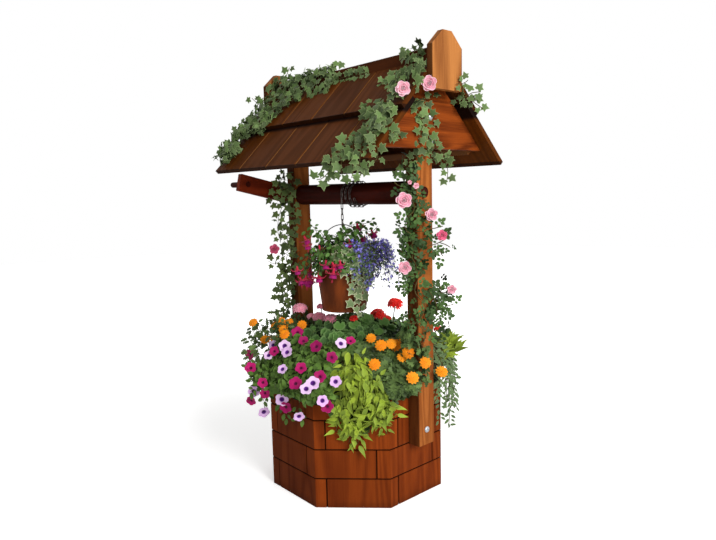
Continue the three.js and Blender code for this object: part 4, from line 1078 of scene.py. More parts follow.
# %% Helpers that find a plant's place
NEAREST, LOOK_STEP, LOOKS = 1.3, 0.01, 180
TRACE_STEP, LARGEST_JUMP, PROUD = 2.0, 0.10, 0.007
ARCH_POINTS = 14
EYE = np.array(eye)
UP = np.array((0, 0, 1.0))
CENTRE = np.zeros(3)
PAIL = (-0.008, -0.0403, 0)


def surface_of(*names):
    """The faces of some CAD solids, ready to be looked at along a line."""
    points, faces = [], []
    for name in names:
        mesh = nodes[name].data
        faces += [[index + len(points) for index in face.vertices] for face in mesh.polygons]
        points += [point.co for point in mesh.vertices]
    return BVHTree.FromPolygons(points, faces)


def outward(points, middle=CENTRE):
    """The level direction away from an upright line through the middle."""
    return unit((points - np.array(middle)) * (1, 1, 0))


def mound(middle=CENTRE, least=0.15):
    """A test that keeps the faces of a plant solid that look up or away from its middle."""
    def keep(points, out):
        return ((out[:, 2] > least) | ((out * outward(points, middle)).sum(1) > 0.2)) & (out[:, 2] > -0.6)
    return keep


def to_eye(points, out):
    return (out * unit(EYE - points)).sum(1)


def unseen(points, out):
    """Faces that look away from the camera, and not down."""
    return (to_eye(points, out) < 0.1) & (out[:, 2] > -0.4)


def pixels_of(points):
    """Where points fall on the photograph."""
    local = points - EYE
    scale = FOCAL_PIXELS / (local @ np.array(ahead))
    return PICTURE[0] / 2 + local @ np.array(eye_right) * scale, PICTURE[1] / 2 - local @ np.array(eye_up) * scale


def drawn_in(*outlines):
    """A test that keeps the seen faces inside outlines drawn over the photograph."""
    def keep(points, out):
        x, y = pixels_of(points)
        kept = np.zeros(len(points), bool)
        for outline in outlines:
            inside = np.zeros(len(points), bool)
            for (x0, y0), (x1, y1) in zip(outline, outline[1:] + outline[:1]):
                if y0 != y1:
                    inside ^= ((y0 > y) != (y1 > y)) & (x < (x1 - x0) * (y - y0) / (y1 - y0) + x0)
            kept |= inside
        return kept & (to_eye(points, out) > 0)
    return keep


def spots(node, count, dice, keep):
    """Random points on the faces of a CAD solid that the test keeps, and the way each face looks."""
    mesh = nodes[node].data
    mesh.calc_loop_triangles()
    corners = numbers_of(mesh.vertices, "co", 3)
    faces = numbers_of(mesh.loop_triangles, "vertices", 3, np.int32)
    a, b, c = (corners[faces[:, i]] for i in range(3))
    across = np.cross(b - a, c - a)
    area = np.linalg.norm(across, axis=1)
    chosen = dice.choice(len(faces), count * 20, p=area / area.sum())
    u, v = dice.random((2, count * 20, 1))
    over = u + v > 1
    u, v = np.where(over, 1 - u, u), np.where(over, 1 - v, v)
    points, out = a[chosen] + u * (b - a)[chosen] + v * (c - a)[chosen], unit(across)[chosen]
    kept = np.flatnonzero(keep(points, out))[:count]
    return points[kept], out[kept]


def seen_at(pixels, *names):
    """Where plants stand at pixels of the photograph, how they face there, and where they are rooted."""
    surface = surface_of(*names)
    found = []
    for x, y in pixels:
        ray = sight_line(x, y)
        point, out, _, _ = surface.ray_cast(eye, ray)
        root = point
        if point is None:
            along = [eye + ray * (NEAREST + step * LOOK_STEP) for step in range(LOOKS)]
            near = [surface.find_nearest(place) for place in along]
            best = min(range(len(along)), key=lambda step: near[step][3])
            point, root, out = along[best], near[best][0], near[best][1]
        found.append((point, out, root))
    return [np.array(part) for part in zip(*found)]


def resampled(points, step):
    """Points every step along a line."""
    points = np.array(points, float)
    lengths = np.concatenate(([0.0], np.cumsum(np.linalg.norm(np.diff(points, axis=0), axis=1))))
    at = np.linspace(0, lengths[-1], max(int(lengths[-1] / step), 1) + 1)
    return np.stack([np.interp(at, lengths, points[:, axis]) for axis in range(points.shape[1])], 1)


def traced(lines, *hosts):
    """Lines drawn over the photograph and laid on the hosts, with the way they face along them. A line that
    runs off its host, or jumps to one far behind, keeps its distance from the eye."""
    surface, laid = surface_of(*hosts), []
    for line in lines:
        points, facing, distance, out = [], [], None, None
        for x, y in resampled(line, TRACE_STEP):
            ray = sight_line(x, y)
            point, way, _, reach = surface.ray_cast(eye, ray)
            if point is not None and (distance is None or abs(reach - distance) < LARGEST_JUMP):
                distance, out = reach, way
            elif distance is None:
                point, way, _ = seen_at([(x, y)], *hosts)
                distance, out = (Vector(point[0]) - eye).length, Vector(way[0])
            points.append(eye + ray * distance + out * PROUD)
            facing.append((out * 0.3 - ray * 0.8).normalized())
        laid.append((np.array(points), np.array(facing)))
    return laid


def arched(middle, bearing, *knots):
    """A shoot that leaves an upright line at a bearing and arches through three places: radius and height."""
    start, bend, end = (np.array(knot) for knot in knots)
    turn = math.radians(bearing)
    share = np.linspace(0, 1, ARCH_POINTS)[:, None]
    radius, height = (start * (1 - share) ** 2 + bend * 2 * share * (1 - share) + end * share ** 2).T
    points = np.stack((middle[0] + radius * math.cos(turn), middle[1] + radius * math.sin(turn), height), 1)
    return points, unit(outward(points, middle) + UP * 0.3)


# %% Helpers that set leaves
TOP_SHARE, STAND_OFF, STEM_STEP, STEM_MARGIN = 0.36, 0.006, 0.012, 0.002
twig_paint = timber("twig", (96, 88, 50), (52, 44, 26), "upright", lines=0.3, fibres=0.3, scale=40.0)
# Paint for the dark inner mass of stems: painted shade inside the plants.
stem_and_shade_paint = foliage("inner_stems_and_shade", (44, 62, 28), (16, 28, 12), (60, 80, 40), veins=0.2, dark=0.5)


def leaves_on(name, node, kind, count, size, seed, middle=CENTRE, keep=None, droop=0.6, rise=0.5,
              depths=((0.0, 0.0), (0.008, 0.5), (0.017, 1.0)), wild=0.7, source=None, tilt=0.32):
    """Leaves all over a CAD plant solid, in layers that each have a depth and a shade."""
    dice = np.random.default_rng(seed)
    points, out = spots(node, count, dice, keep or mound(middle))
    count = len(points)
    away = outward(points, middle) if source is None else unit(points - np.array(source))
    layer = np.where(dice.random(count) < TOP_SHARE, 0, dice.integers(1, len(depths), count))
    depth = np.array([d for d, _ in depths])[layer] + dice.normal(0, 0.003, count)
    shade = np.array([s for _, s in depths])[layer] * dice.uniform(0.7, 1.0, count)
    facing = unit(out * 0.6 + away * 0.25 + UP * rise + dice.normal(0, tilt, (count, 3)))
    along = away * 0.8 - UP * droop + dice.normal(0, wild, (count, 3))
    sizes = size * dice.uniform(0.65, 1.2, count)
    ahead = unit(along - (along * facing).sum(1, keepdims=True) * facing)
    base = points - out * depth[:, None] - ahead * sizes[:, None] * 0.5
    return planted(name, kind, stand(base, facing, along, sizes), dice.random(count), shade)


def stems(name, paths, slot, radius=0.0011):
    """Thin twigs along paths, kept within the model's box."""
    paths = [[Vector(np.clip(p, LOWEST + STEM_MARGIN, HIGHEST - STEM_MARGIN)) for p in path] for path in paths]
    finish_plant(rod(name, paths, radius, 1), twig_paint, slot)


def shoots(name, lines, kind, size, step, seed, reach=0.008, droop=0.6, stem=0.0011, wild=0.35):
    """Leafy shoots: a thin stem along each line, and leaves on both sides in turn."""
    dice = np.random.default_rng(seed)
    places = []
    for points, facing in lines:
        knots = np.clip(resampled(points, step), LOWEST, HIGHEST)
        out = facing[np.linspace(0, len(facing) - 1, len(knots)).round().astype(int)]
        way = unit(np.gradient(knots, axis=0))
        aside = unit(np.cross(out, way)) * np.where(np.arange(len(knots)) % 2, 1.0, -1.0)[:, None]
        along = aside + way * 0.5 - UP * droop + dice.normal(0, wild, knots.shape)
        look = unit(out + UP * 0.25 + dice.normal(0, 0.3, knots.shape))
        base = knots + aside * reach * 0.5 + look * STAND_OFF * dice.random((len(knots), 1))
        places.append(stand(base, look, along, size * dice.uniform(0.65, 1.15, len(knots))))
    places = np.concatenate(places)
    planted(name, kind, places, dice.random(len(places)), dice.random(len(places)) ** 3 * 0.5)
    stems(name + "_stems", [resampled(points, STEM_STEP) for points, _ in lines], kind[2], stem)


DRAWN_IN = (0.58, 0.58, 0.75)


def stems_and_shade(name, node, slot, shrink=0.016, cut=None):
    """The dark mass of stems and inner leaves, coloured as painted shade inside the plant: the CAD plant solid,
    merged, shrunk and roughened. In the pail it is cut off at a height and drawn in, so that it stays above
    the rim and clear of the bail."""
    made = copy_of(nodes[node], name, Matrix.Identity(4))
    made.parent = None
    for key in list(made.keys()):
        del made[key]
    made.hide_render = made.hide_viewport = False
    only(made)
    bpy.ops.object.mode_set(mode="EDIT")
    bpy.ops.mesh.select_all(action="SELECT")
    bpy.ops.mesh.remove_doubles(threshold=0.0001)
    bpy.ops.transform.shrink_fatten(value=-shrink)
    bpy.ops.mesh.subdivide(number_cuts=1)
    bpy.ops.transform.vertex_random(offset=0.004, seed=3)
    if cut:
        bpy.ops.mesh.select_all(action="SELECT")
        bpy.ops.mesh.bisect(plane_co=(0, 0, cut), plane_no=(0, 0, 1), clear_inner=True, use_fill=True)
        bpy.ops.mesh.select_all(action="SELECT")
        bpy.ops.transform.resize(value=DRAWN_IN, center_override=(PAIL[0], PAIL[1], cut))
    bpy.ops.object.mode_set(mode="OBJECT")
    finish_plant(made, stem_and_shade_paint, slot, node)


# %% [markdown]
# ### Planting the base
# Leaves are set all over a bed in three depths, dark ones below with painted shade and bright ones on top,
# tips outwards and down, as they shingle on a real mound. Under them lies a dark mass of tangled stems, made
# from the bed's own form, shrunk and roughened, whose dark colour is painted shade, so that no gap shows
# through.

# %% Plant leaves in the base
PETUNIA_LEAF = oval_leaf, foliage("petunia_leaf", (92, 130, 50), (26, 56, 20), (136, 166, 84), share=0.2), "petunia"
GERANIUM_LEAF = round_leaf, foliage("geranium_leaf", (88, 132, 60), (22, 54, 24), (124, 158, 94), veins=0.35,
                                    share=0.5, start=0.7, fan=1.0), "geranium"
MARIGOLD_LEAF = feather_leaf, foliage("marigold_leaf", (92, 118, 58), (20, 44, 26), (130, 150, 94)), "marigold"
LIME_LEAF = blade_leaf, foliage("lime_leaf", (144, 170, 40), (54, 90, 14), (196, 210, 92), share=0.3,
                                dark=0.7), "lime_leaf"
VINE_LEAF = small_leaf, foliage("vine_leaf", (72, 104, 50), (24, 48, 24), (150, 170, 120), share=0.4,
                                start=0.75), "trailing_leaf"
BEDS = [
    ("petunias_front", PETUNIA_LEAF, 2300, 0.027), ("petunias_back", PETUNIA_LEAF, 2300, 0.027),
    ("marigolds_left", MARIGOLD_LEAF, 1000, 0.036), ("marigolds_right", MARIGOLD_LEAF, 820, 0.031),
    ("geraniums", GERANIUM_LEAF, 900, 0.031),
]
POST_PIXEL = 423


def beside_post(points, out):
    """Faces that look up or out, on the photograph's left of the near post."""
    return mound()(points, out) & (pixels_of(points)[0] < POST_PIXEL)


for number, (node, kind, count, size) in enumerate(BEDS):
    leaves_on(f"{node}_leaves", node, kind, count, size, 20 + number, rise=0.25, tilt=0.42,
              keep=beside_post if node == "marigolds_right" else None)
    stems_and_shade(f"{node}_stems", node, kind[2])

dice = np.random.default_rng(27)
tall = [arched(CENTRE, bearing, (0.22, 0.44), (0.25 + dice.uniform(-0.02, 0.02), 0.50), (rim, top))
        for bearing, rim, top in zip(range(176, 248, 4), [0.29, 0.25, 0.31, 0.27, 0.30, 0.24] * 3,
                                     [0.49, 0.52, 0.50, 0.54, 0.48, 0.52, 0.53, 0.50, 0.55] * 2)]
tall = [(points, unit(dice.normal(0, 1, points.shape) + UP * 0.3)) for points, _ in tall]
shoots("tall_marigold_shoots", tall, MARIGOLD_LEAF, 0.030, 0.0055, 29, reach=0.012, droop=0.0, wild=0.7)
leaves_on("post_marigold_leaves", "right_post", MARIGOLD_LEAF, 330, 0.028, 28,
          keep=drawn_in([(403, 332), (416, 334), (421, 342), (422, 360), (421, 378), (416, 390), (408, 396),
                         (403, 396)]), rise=0.2, depths=((-0.030, 0), (-0.022, 0.3), (-0.010, 0.9)), wild=0.9,
          tilt=0.6)

# %% Plant the lime bed
LIME_TOP = (0.19, -0.165, 0.475)
in_lime = drawn_in([
    (343, 362), (362, 360), (368, 372), (378, 385), (391, 398), (395, 409), (388, 420), (387, 434), (376, 433),
    (366, 428), (357, 445), (347, 443), (352, 430), (340, 432), (336, 420), (332, 410), (338, 400), (333, 390),
    (330, 373), (340, 374),
])


def beside_lime(low, high):
    """Faces of the lime bed outside its outline, between two columns of the photograph."""
    def keep(points, out):
        x, _ = pixels_of(points)
        return mound()(points, out) & ~in_lime(points, out) & (x >= low) & (x < high)
    return keep


leaves_on("lime_leaves", "lime_foliage", LIME_LEAF, 430, 0.046, 40, keep=in_lime, droop=0.5, rise=0.05, wild=0.4,
          source=LIME_TOP, depths=((-0.014, 0.0), (-0.003, 0.4), (0.007, 1.0)))
shoots("lime_tips", traced([
    [(350, 420), (352, 432), (349, 442)], [(358, 422), (361, 434), (357, 444)],
    [(376, 414), (383, 424), (387, 433)], [(342, 414), (338, 424), (336, 431)],
    [(386, 400), (392, 408), (395, 414)], [(348, 374), (344, 366), (341, 359)],
    [(358, 372), (360, 364), (362, 357)], [(370, 384), (376, 380), (381, 379)],
], "lime_foliage", "base_panel_8"), LIME_LEAF, 0.038, 0.010, 43, reach=0.012)
leaves_on("inner_petunia_leaves", "lime_foliage", PETUNIA_LEAF, 380, 0.027, 41, keep=beside_lime(0, 356))
leaves_on("inner_marigold_leaves", "lime_foliage", MARIGOLD_LEAF, 330, 0.038, 42, keep=beside_lime(356, 716))
stems_and_shade("lime_stems_and_shade", "lime_foliage", "lime_leaf")

# %% Let the vine hang, and set a lime tuft on it
VINE_ENDS = [0.31, 0.22, 0.34, 0.26, 0.20, 0.33, 0.24, 0.29, 0.36] * 2
VINE_REACH = 0.295
dice = np.random.default_rng(30)
vines = [
    arched(CENTRE, bearing + dice.normal(0, 1), (0.24, 0.47), (0.335 + dice.uniform(0, 0.02), 0.47),
           (0.322 + dice.uniform(-0.01, 0.02), end + dice.normal(0, 0.015)))
    for bearing, end in zip(range(9, 60, 4), VINE_ENDS)
]


def in_vine(points, out):
    """Faces of the vine that lie on the bed and don't hang over its wall."""
    return mound()(points, out) & (np.hypot(points[:, 0], points[:, 1]) < VINE_REACH)


vine_leaves = leaves_on("vine_leaves", "trailing_vine", VINE_LEAF, 260, 0.020, 32, keep=in_vine)
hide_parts("trailing_vine")
vines = [(points, unit(out + unit(EYE - points))) for points, out in vines]
shoots("vine_shoots", vines, VINE_LEAF, 0.021, 0.0085, 31)

TUFT_ROOTS = [(441, 346), (447, 347), (454, 350), (447, 341), (445, 355)]
LEAVES_A_ROOT = 13
points, _, _ = seen_at(TUFT_ROOTS, "trailing_vine")
base = np.repeat(points, LEAVES_A_ROOT, axis=0)
count = len(base)
base += dice.normal(0, 0.005, (count, 3))
along = UP * 0.7 + np.array(eye_right) * dice.normal(0.35, 0.9, (count, 1)) + dice.normal(0, 0.35, (count, 3))
toward = unit(EYE - base)
places = stand(base + toward * 0.045, toward + UP * 0.6 + dice.normal(0, 0.5, (count, 3)), along,
               0.057 * dice.uniform(0.6, 1.1, count))
planted("lime_tuft", LIME_LEAF, places, dice.random(count), dice.random(count) ** 2)


# %% [markdown]
# ### Flowers of the base
# Each flower that the photograph shows gets its own place, since the eye counts flowers. It stands on the
# plant there, or on a stalk from it, and looks towards the eye. On the far side they are strewn by chance.

# %% Set the flowers of the base
def flowers_at(name, kind, pixels, hosts, size, proud):
    """Flowers at pixels of the photograph, on the plants there or on a stalk from them, turned to the eye."""
    dice = np.random.default_rng(50 + len(name))
    points, out, roots = seen_at(pixels, *hosts)
    facing = unit(out * 0.7 + unit(EYE - points) + UP * 0.15 + dice.normal(0, 0.14, points.shape))
    sizes = size * dice.uniform(0.85, 1.12, len(points))
    heads = points + facing * proud
    planted(name, kind, stand(heads, facing, dice.normal(0, 1, points.shape), sizes), dice.random(len(points)))
    far = np.linalg.norm(points - roots, axis=1) > 0.004
    if far.any():
        stems(name + "_stalks", zip((roots - out * 0.01)[far], ((roots + points) / 2)[far],
                                    (heads - facing * 0.002)[far]), kind[2])


def strewn(name, kind, hosts, count, size, seed):
    """Flowers strewn by chance over the plants that the camera doesn't see, facing out."""
    dice = np.random.default_rng(seed)
    points, out = (np.concatenate(part) for part in zip(*[spots(host, count, dice, unseen) for host in hosts]))
    facing = unit(out + outward(points) * 0.4 + UP * 0.2 + dice.normal(0, 0.2, points.shape))
    places = stand(points + facing * 0.01, facing, dice.normal(0, 1, points.shape),
                   size * dice.uniform(0.8, 1.1, len(points)))
    planted(name, kind, places, dice.random(len(points)))


MAGENTA = petunia, bloom("magenta_petunia", (88, 6, 58), (182, 24, 102), (140, 12, 80), (192, 46, 126),
                         size=0.24), "petunia"
LILAC = petunia, bloom("white_petunia", (80, 24, 116), (232, 202, 234), (214, 166, 222), (248, 234, 248),
                       size=0.38, streaks=0.5), "petunia"
ORANGE = marigold, bloom("marigold_bloom", (214, 84, 6), (234, 132, 14), (240, 152, 24), (242, 170, 46),
                         size=0.2, start=0.9), "marigold"
LEFT = ("marigolds_left", "petunias_front", "geraniums")
FRONT = ("petunias_front", "marigolds_left", "marigolds_right", "geraniums", "lime_foliage", "trailing_vine")
PETUNIA_SIZE, PETUNIA_STALK = 0.0195, 0.031
flowers_at("magenta_petunias", MAGENTA, [
    (277, 354), (319, 350), (329, 360), (302, 371), (298, 387), (321, 379), (349, 346), (298, 336), (250, 371),
    (245, 398), (267, 390), (262, 381), (289, 403), (328, 406), (255, 353), (303, 345),
], FRONT, PETUNIA_SIZE, PETUNIA_STALK)
flowers_at("white_petunias", LILAC, [
    (286, 347), (270, 360), (286, 373), (314, 386), (336, 384), (321, 399), (298, 410), (307, 393), (255, 388),
    (262, 407), (291, 356), (338, 348), (283, 397), (276, 348),
], FRONT, PETUNIA_SIZE, PETUNIA_STALK)
flowers_at("right_marigold_blooms", ORANGE, [
    (375, 368), (399, 363), (410, 381), (421, 363), (412, 353), (405, 343), (389, 347), (395, 349), (371, 343),
    (382, 349), (439, 377),
], (*FRONT, "right_post"), 0.0195, 0.036)
flowers_at("left_marigold_blooms", ORANGE, [
    (259, 331), (286, 325), (280, 331), (288, 336), (296, 328), (304, 330), (289, 342), (278, 344), (268, 348),
], LEFT, 0.0185, 0.055)
strewn("far_magenta_petunias", MAGENTA, ["petunias_back"], 30, PETUNIA_SIZE, 67)
strewn("far_white_petunias", LILAC, ["petunias_back"], 30, PETUNIA_SIZE, 65)
strewn("far_marigold_blooms", ORANGE, ["marigolds_left", "marigolds_right"], 9, 0.018, 70)
shoots("marigold_sprigs", traced([
    [(262, 350), (256, 338), (253, 327)], [(268, 345), (262, 332), (258, 322)],
    [(262, 352), (254, 346), (249, 338)], [(258, 366), (252, 358), (248, 350)],
], *LEFT), MARIGOLD_LEAF, 0.028, 0.007, 71)
shoots("petunia_shoots", traced([
    [(266, 380), (258, 386), (252, 390)], [(272, 388), (267, 394), (264, 399)],
    [(264, 374), (256, 377), (253, 381)], [(282, 402), (287, 411), (291, 418)],
    [(262, 366), (254, 368), (248, 371)], [(296, 404), (299, 412), (304, 417)],
], "petunias_front", "petunias_back"), PETUNIA_LEAF, 0.022, 0.008, 72)


# %% Build the geranium heads
def heads_at(name, points, roots, kind, radius, seed, count=48):
    """Domed heads of florets on stalks, with each floret looking outwards."""
    dice = np.random.default_rng(seed)
    centres = np.repeat(points, count, axis=0)
    out = unit(dice.normal(0, 1, centres.shape) + UP * 0.5)
    out[out[:, 2] < -0.3] *= (1, 1, -1)
    reach = radius * dice.uniform(0.6, 1.1, (len(out), 1))
    places = stand(centres + out * reach * (1, 1, 0.8), unit(out + UP * 0.1), dice.normal(0, 1, out.shape),
                   radius * 0.8 * dice.uniform(0.8, 1.15, len(out)))
    planted(name, kind, places, dice.random(len(out)))
    stems(name + "_stalks", zip(roots - UP * 0.02, (roots + points) / 2, points), kind[2], 0.0018)


RED = floret, bloom("red_geranium", (206, 18, 18), (252, 44, 38), (240, 26, 26), (254, 90, 72),
                    size=0.12), "geranium"
PINK = floret, bloom("pink_geranium", (232, 84, 130), (254, 170, 190), (248, 132, 164), (255, 214, 222),
                     size=0.24), "geranium"
for name, kind, radius, pixels in (
    ("pink_heads", PINK, 0.022, [(300, 310), (331, 321), (319, 319)]),
    ("small_pink_heads", PINK, 0.014, [(311, 318), (321, 308)]),
    ("red_heads", RED, 0.026, [(378, 317), (395, 306)]),
    ("small_red_heads", RED, 0.013, [(354, 320), (438, 330), (387, 320)]),
):
    points, _, roots = seen_at(pixels, "geraniums", "trailing_vine")
    heads_at(name, points + unit(EYE - points) * 0.02 + UP * 0.004, roots, kind, radius, 80 + len(name), 70)


def low_and_unseen(points, out):
    """Faces on the far side, at the height of the geraniums' lower leaves."""
    return unseen(points, out) & (points[:, 2] > 0.44) & (points[:, 2] < 0.49)


for seed, (name, kind) in enumerate((("far_red_heads", RED), ("far_pink_heads", PINK))):
    points, out = spots("geraniums", 3, np.random.default_rng(95 + seed), low_and_unseen)
    heads_at(name, points + out * 0.02, points, kind, 0.021, 90 + seed)

# %% [markdown]
# ### Planting the pail
# Fuchsia arches out on the crank's side, lobelia makes a cloud on the other, and a cream-edged ivy trails
# over the rim between them. The stems inside are kept above the rim. All of it rides on the pail.

# %% Plant the fuchsia leaves and the lobelia
HALVES = ("bucket_plants_front", "bucket_plants_back")
FUCHSIA_LEAF = oval_leaf, foliage("fuchsia_leaf", (72, 112, 44), (20, 46, 18), (124, 158, 84)), "bucket_leaf"
LOBELIA_LEAF = small_leaf, foliage("lobelia_leaf", (118, 142, 108), (56, 82, 62), (146, 168, 134),
                                   dark=0.7), "bucket_leaf"
CREAM_IVY = ivy_leaf, foliage("cream_ivy_leaf", (98, 140, 76), (40, 80, 36), (226, 228, 184), veins=0.45,
                              share=0.85, start=0.78, fan=1.0), "bucket_leaf"
LOBELIA = lobelia, bloom("lobelia_bloom", (244, 246, 252), (152, 144, 234), (104, 92, 212), (136, 128, 228),
                         size=0.24, streaks=0.1), "bucket_leaf"
FUCHSIA = fuchsia, bloom("fuchsia_bloom", (188, 34, 64), (208, 46, 84), (176, 22, 62), (150, 22, 98),
                         size=0.05, start=0.6), "bucket_leaf"


LEAVES_FROM, STEMS_FROM, SPRAYS = 0.72, 0.722, 96


def round_pail(start, end):
    """Faces of the pail's plants above its rim, between two bearings from +X."""
    def keep(points, out):
        away = points - np.array(PAIL)
        bearing = np.degrees(np.arctan2(away[:, 1], away[:, 0])) % 360
        return mound(PAIL, 0.2)(points, out) & ((bearing - start) % 360 < end - start) & (points[:, 2] > LEAVES_FROM)
    return keep


for number, node in enumerate(HALVES, 1):
    leaves_on(f"fuchsia_leaves_{number}", node, FUCHSIA_LEAF, 420, 0.0165, 100 + number, PAIL, round_pail(95, 335),
              droop=0.3, wild=0.9, depths=((0.006, 0), (0.018, 0.5), (0.030, 1)))
    leaves_on(f"lobelia_leaves_{number}", node, LOBELIA_LEAF, 200, 0.012, 104 + number, PAIL, round_pail(-25, 95),
              wild=0.9, depths=((0.010, 0.2), (0.020, 0.6), (0.028, 1)))
    stems_and_shade(f"pail_stems_and_shade_{number}", node, "bucket_leaf", 0.004, STEMS_FROM)

dice = np.random.default_rng(107)
sprays = []
for bearing in dice.uniform(-36, 104, SPRAYS):
    fall, out_share = dice.random(2)
    radius = 0.104 + 0.094 * max(math.cos(math.radians(bearing - 45)), 0.1) * (0.3 + 0.7 * out_share)
    bend, end = (radius * 0.8, 0.86 - 0.05 * fall), (radius, 0.785 - 0.12 * fall)
    sprays.append(arched(PAIL, bearing, (0.03, 0.745), bend, end))
shoots("lobelia_sprays", sprays, LOBELIA_LEAF, 0.011, 0.011, 108, stem=0.0005)
blooms = np.concatenate([points[ARCH_POINTS // 2:] for points, _ in sprays])
blooms += dice.normal(0, 0.006, blooms.shape)
facing = unit(outward(blooms, PAIL) * 0.5 + UP * 0.3 + dice.normal(0, 0.6, blooms.shape))
places = stand(blooms, facing, UP + dice.normal(0, 0.4, blooms.shape), 0.0115 * dice.uniform(0.65, 1.15, len(blooms)))
planted("lobelia_flowers", LOBELIA, places, dice.random(len(blooms)))

# %% Arch the fuchsia and hang its flowers
arcs = [arched(PAIL, bearing + dice.normal(0, 5), (0.03, 0.75), (0.07 + dice.uniform(0, 0.03), 0.84),
               (0.10 + dice.uniform(0, 0.05), 0.69 + dice.uniform(0, 0.09))) for bearing in range(105, 300, 10)]
lines = traced([
    [(338, 240), (346, 229), (356, 224), (366, 224), (373, 221)],
    [(340, 243), (352, 233), (363, 232), (372, 234), (377, 228)], [(330, 243), (320, 233), (312, 231), (306, 237)],
    [(322, 252), (313, 256), (307, 264), (305, 276)], [(345, 245), (338, 252), (334, 262)],
    [(322, 240), (316, 228), (311, 225)], [(352, 244), (360, 234), (364, 227)],
], *HALVES)
shoots("fuchsia_shoots", arcs + lines, FUCHSIA_LEAF, 0.020, 0.0095, 112, stem=0.0008)


FUCHSIA_SIZE = 0.046


def fuchsias(name, points, facing, spread):
    """Flowers that hang from these points, and are turned as facing says."""
    along = UP + dice.normal(0, spread, points.shape)
    places = stand(points, facing, along, FUCHSIA_SIZE * dice.uniform(0.85, 1.1, len(points)))
    planted(name, FUCHSIA, places, dice.random(len(points)))


ends = np.stack([points[-1] for points, _ in arcs[::2]])
fuchsias("far_fuchsia_flowers", ends, outward(ends, PAIL), 0.15)
for number, (line, pixels) in enumerate((
    (2, [(304, 236), (307, 241)]), (3, [(300, 277), (305, 276), (310, 278), (315, 277), (297, 266)]),
    (None, [(326, 260), (340, 260), (334, 268), (319, 245), (349, 239), (361, 234), (371, 229), (332, 262),
            (357, 223)]),
)):
    points, _, _ = seen_at(pixels, *HALVES)
    if line is not None:
        path, _ = lines[line]
        points = EYE + unit(points - EYE) * np.linalg.norm(path[-1] - EYE)
        stems(f"fuchsia_threads_{number}", [[path[-3], (path[-3] + p) / 2 + UP * 0.004, p] for p in points],
              "bucket_leaf", 0.0006)
    toward = unit(EYE - points)
    fuchsias(f"fuchsia_flowers_{number}", points + toward * 0.012, toward + dice.normal(0, 0.25, points.shape), 0.2)

# %% Trail the cream-edged ivy over the rim
TRAIL_ENDS = {-30: 0.675, -19: 0.60, -10: 0.64, -3: 0.565, 10: 0.655, 28: 0.69}
trails = []
for bearing in range(-44, 44, 9):
    lift = dice.uniform(-0.012, 0.016)
    trails.append(arched(PAIL, bearing, (0.05, 0.79), (0.112, 0.82 + lift), (0.119, 0.73 + lift)))
for bearing, end in TRAIL_ENDS.items():
    heights = np.arange(0.74, end, -0.01)
    turn = np.radians(bearing + dice.normal(0, 1.5, len(heights)))
    radius = 0.105 - 0.019 * np.maximum(0, (RIM_HEIGHT - heights) / (RIM_HEIGHT - FOOT_HEIGHT))
    points = np.stack((PAIL[0] + radius * np.cos(turn), PAIL[1] + radius * np.sin(turn), heights), 1)[::2]
    trails.append((points, outward(points, PAIL)))
shoots("cream_ivy", trails, CREAM_IVY, 0.029, 0.019, 115, reach=0.014, droop=0.9, wild=0.25)

# %% [markdown]
# ### The climbers
# Ivy lies over the roof and hangs from its edges, and a rose climbs the near post. Leaves lie on the CAD mats
# only inside outlines of the real garlands, so boards still show between them, and loose shoots are traced.

# %% Grow the ivy and the rose over their mats
ROOF_IVY = ivy_leaf, foliage("roof_ivy_leaf", (76, 108, 50), (16, 38, 20), (150, 168, 112), share=0.55,
                             start=0.82, fan=1.0, dark=0.7), "ivy_leaf"
POST_IVY = ivy_leaf, foliage("post_ivy_leaf", (102, 126, 64), (26, 50, 22), (150, 166, 108), share=0.3,
                             start=0.82, fan=1.0, dark=0.7), "ivy_leaf"
ROSE_LEAF = rose_leaf, foliage("rose_leaf_paint", (66, 96, 42), (20, 42, 22), (110, 136, 80), veins=0.4), "rose"


def open_faces(points, out):
    """Faces that look neither down nor into the slope."""
    return (out[:, 2] > -0.3) & (out[:, 1] < 0.72)


GARLANDS = drawn_in(
    [(399, 50), (416, 47), (425, 50), (430, 62), (424, 75), (420, 92), (412, 108), (400, 108), (386, 98), (380, 84),
     (396, 74)],
    [(374, 104), (394, 100), (404, 112), (398, 128), (388, 144), (378, 160), (368, 158), (370, 140), (364, 128),
     (366, 112)],
)
ROSE_AREAS = drawn_in(
    [(402, 168), (418, 160), (424, 190), (424, 215), (430, 240), (428, 264), (418, 280), (418, 292), (404, 284),
     (401, 250), (405, 215), (398, 190)],
    [(424, 288), (436, 284), (444, 300), (442, 312), (430, 326), (414, 336), (410, 326), (422, 312)],
)
CLIMBERS = [
    ("roof_ivy_left", ROOF_IVY, 500, 0.0245, open_faces), ("roof_ivy_right", ROOF_IVY, 115, 0.0245, GARLANDS),
    ("post_ivy", POST_IVY, 50, 0.028, unseen), ("climbing_rose", ROSE_LEAF, 55, 0.042, ROSE_AREAS),
]
for number, (node, kind, count, size, keep) in enumerate(CLIMBERS):
    low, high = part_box(node)
    made = leaves_on(f"{node}_leaves", node, kind, count, size, 120 + number, ((low.x + high.x) / 2, 0.3, 1), keep,
                     droop=0.7, rise=0.1, depths=((0.002, 0), (0.010, 0.3), (0.020, 0.8)), wild=0.8)
    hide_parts(node)
leaves_on("far_rose_leaves", "climbing_rose", ROSE_LEAF, 60, 0.042, 125, (0.3, 0, 1), unseen, droop=0.7, rise=0.1,
          wild=0.8)

# %% [markdown]
# ### Shoots and roses
# The ends of the garlands hang free and are what the eye follows, so each is traced along its own line in
# the photograph. The roses stand at their places there, each on a short stalk.

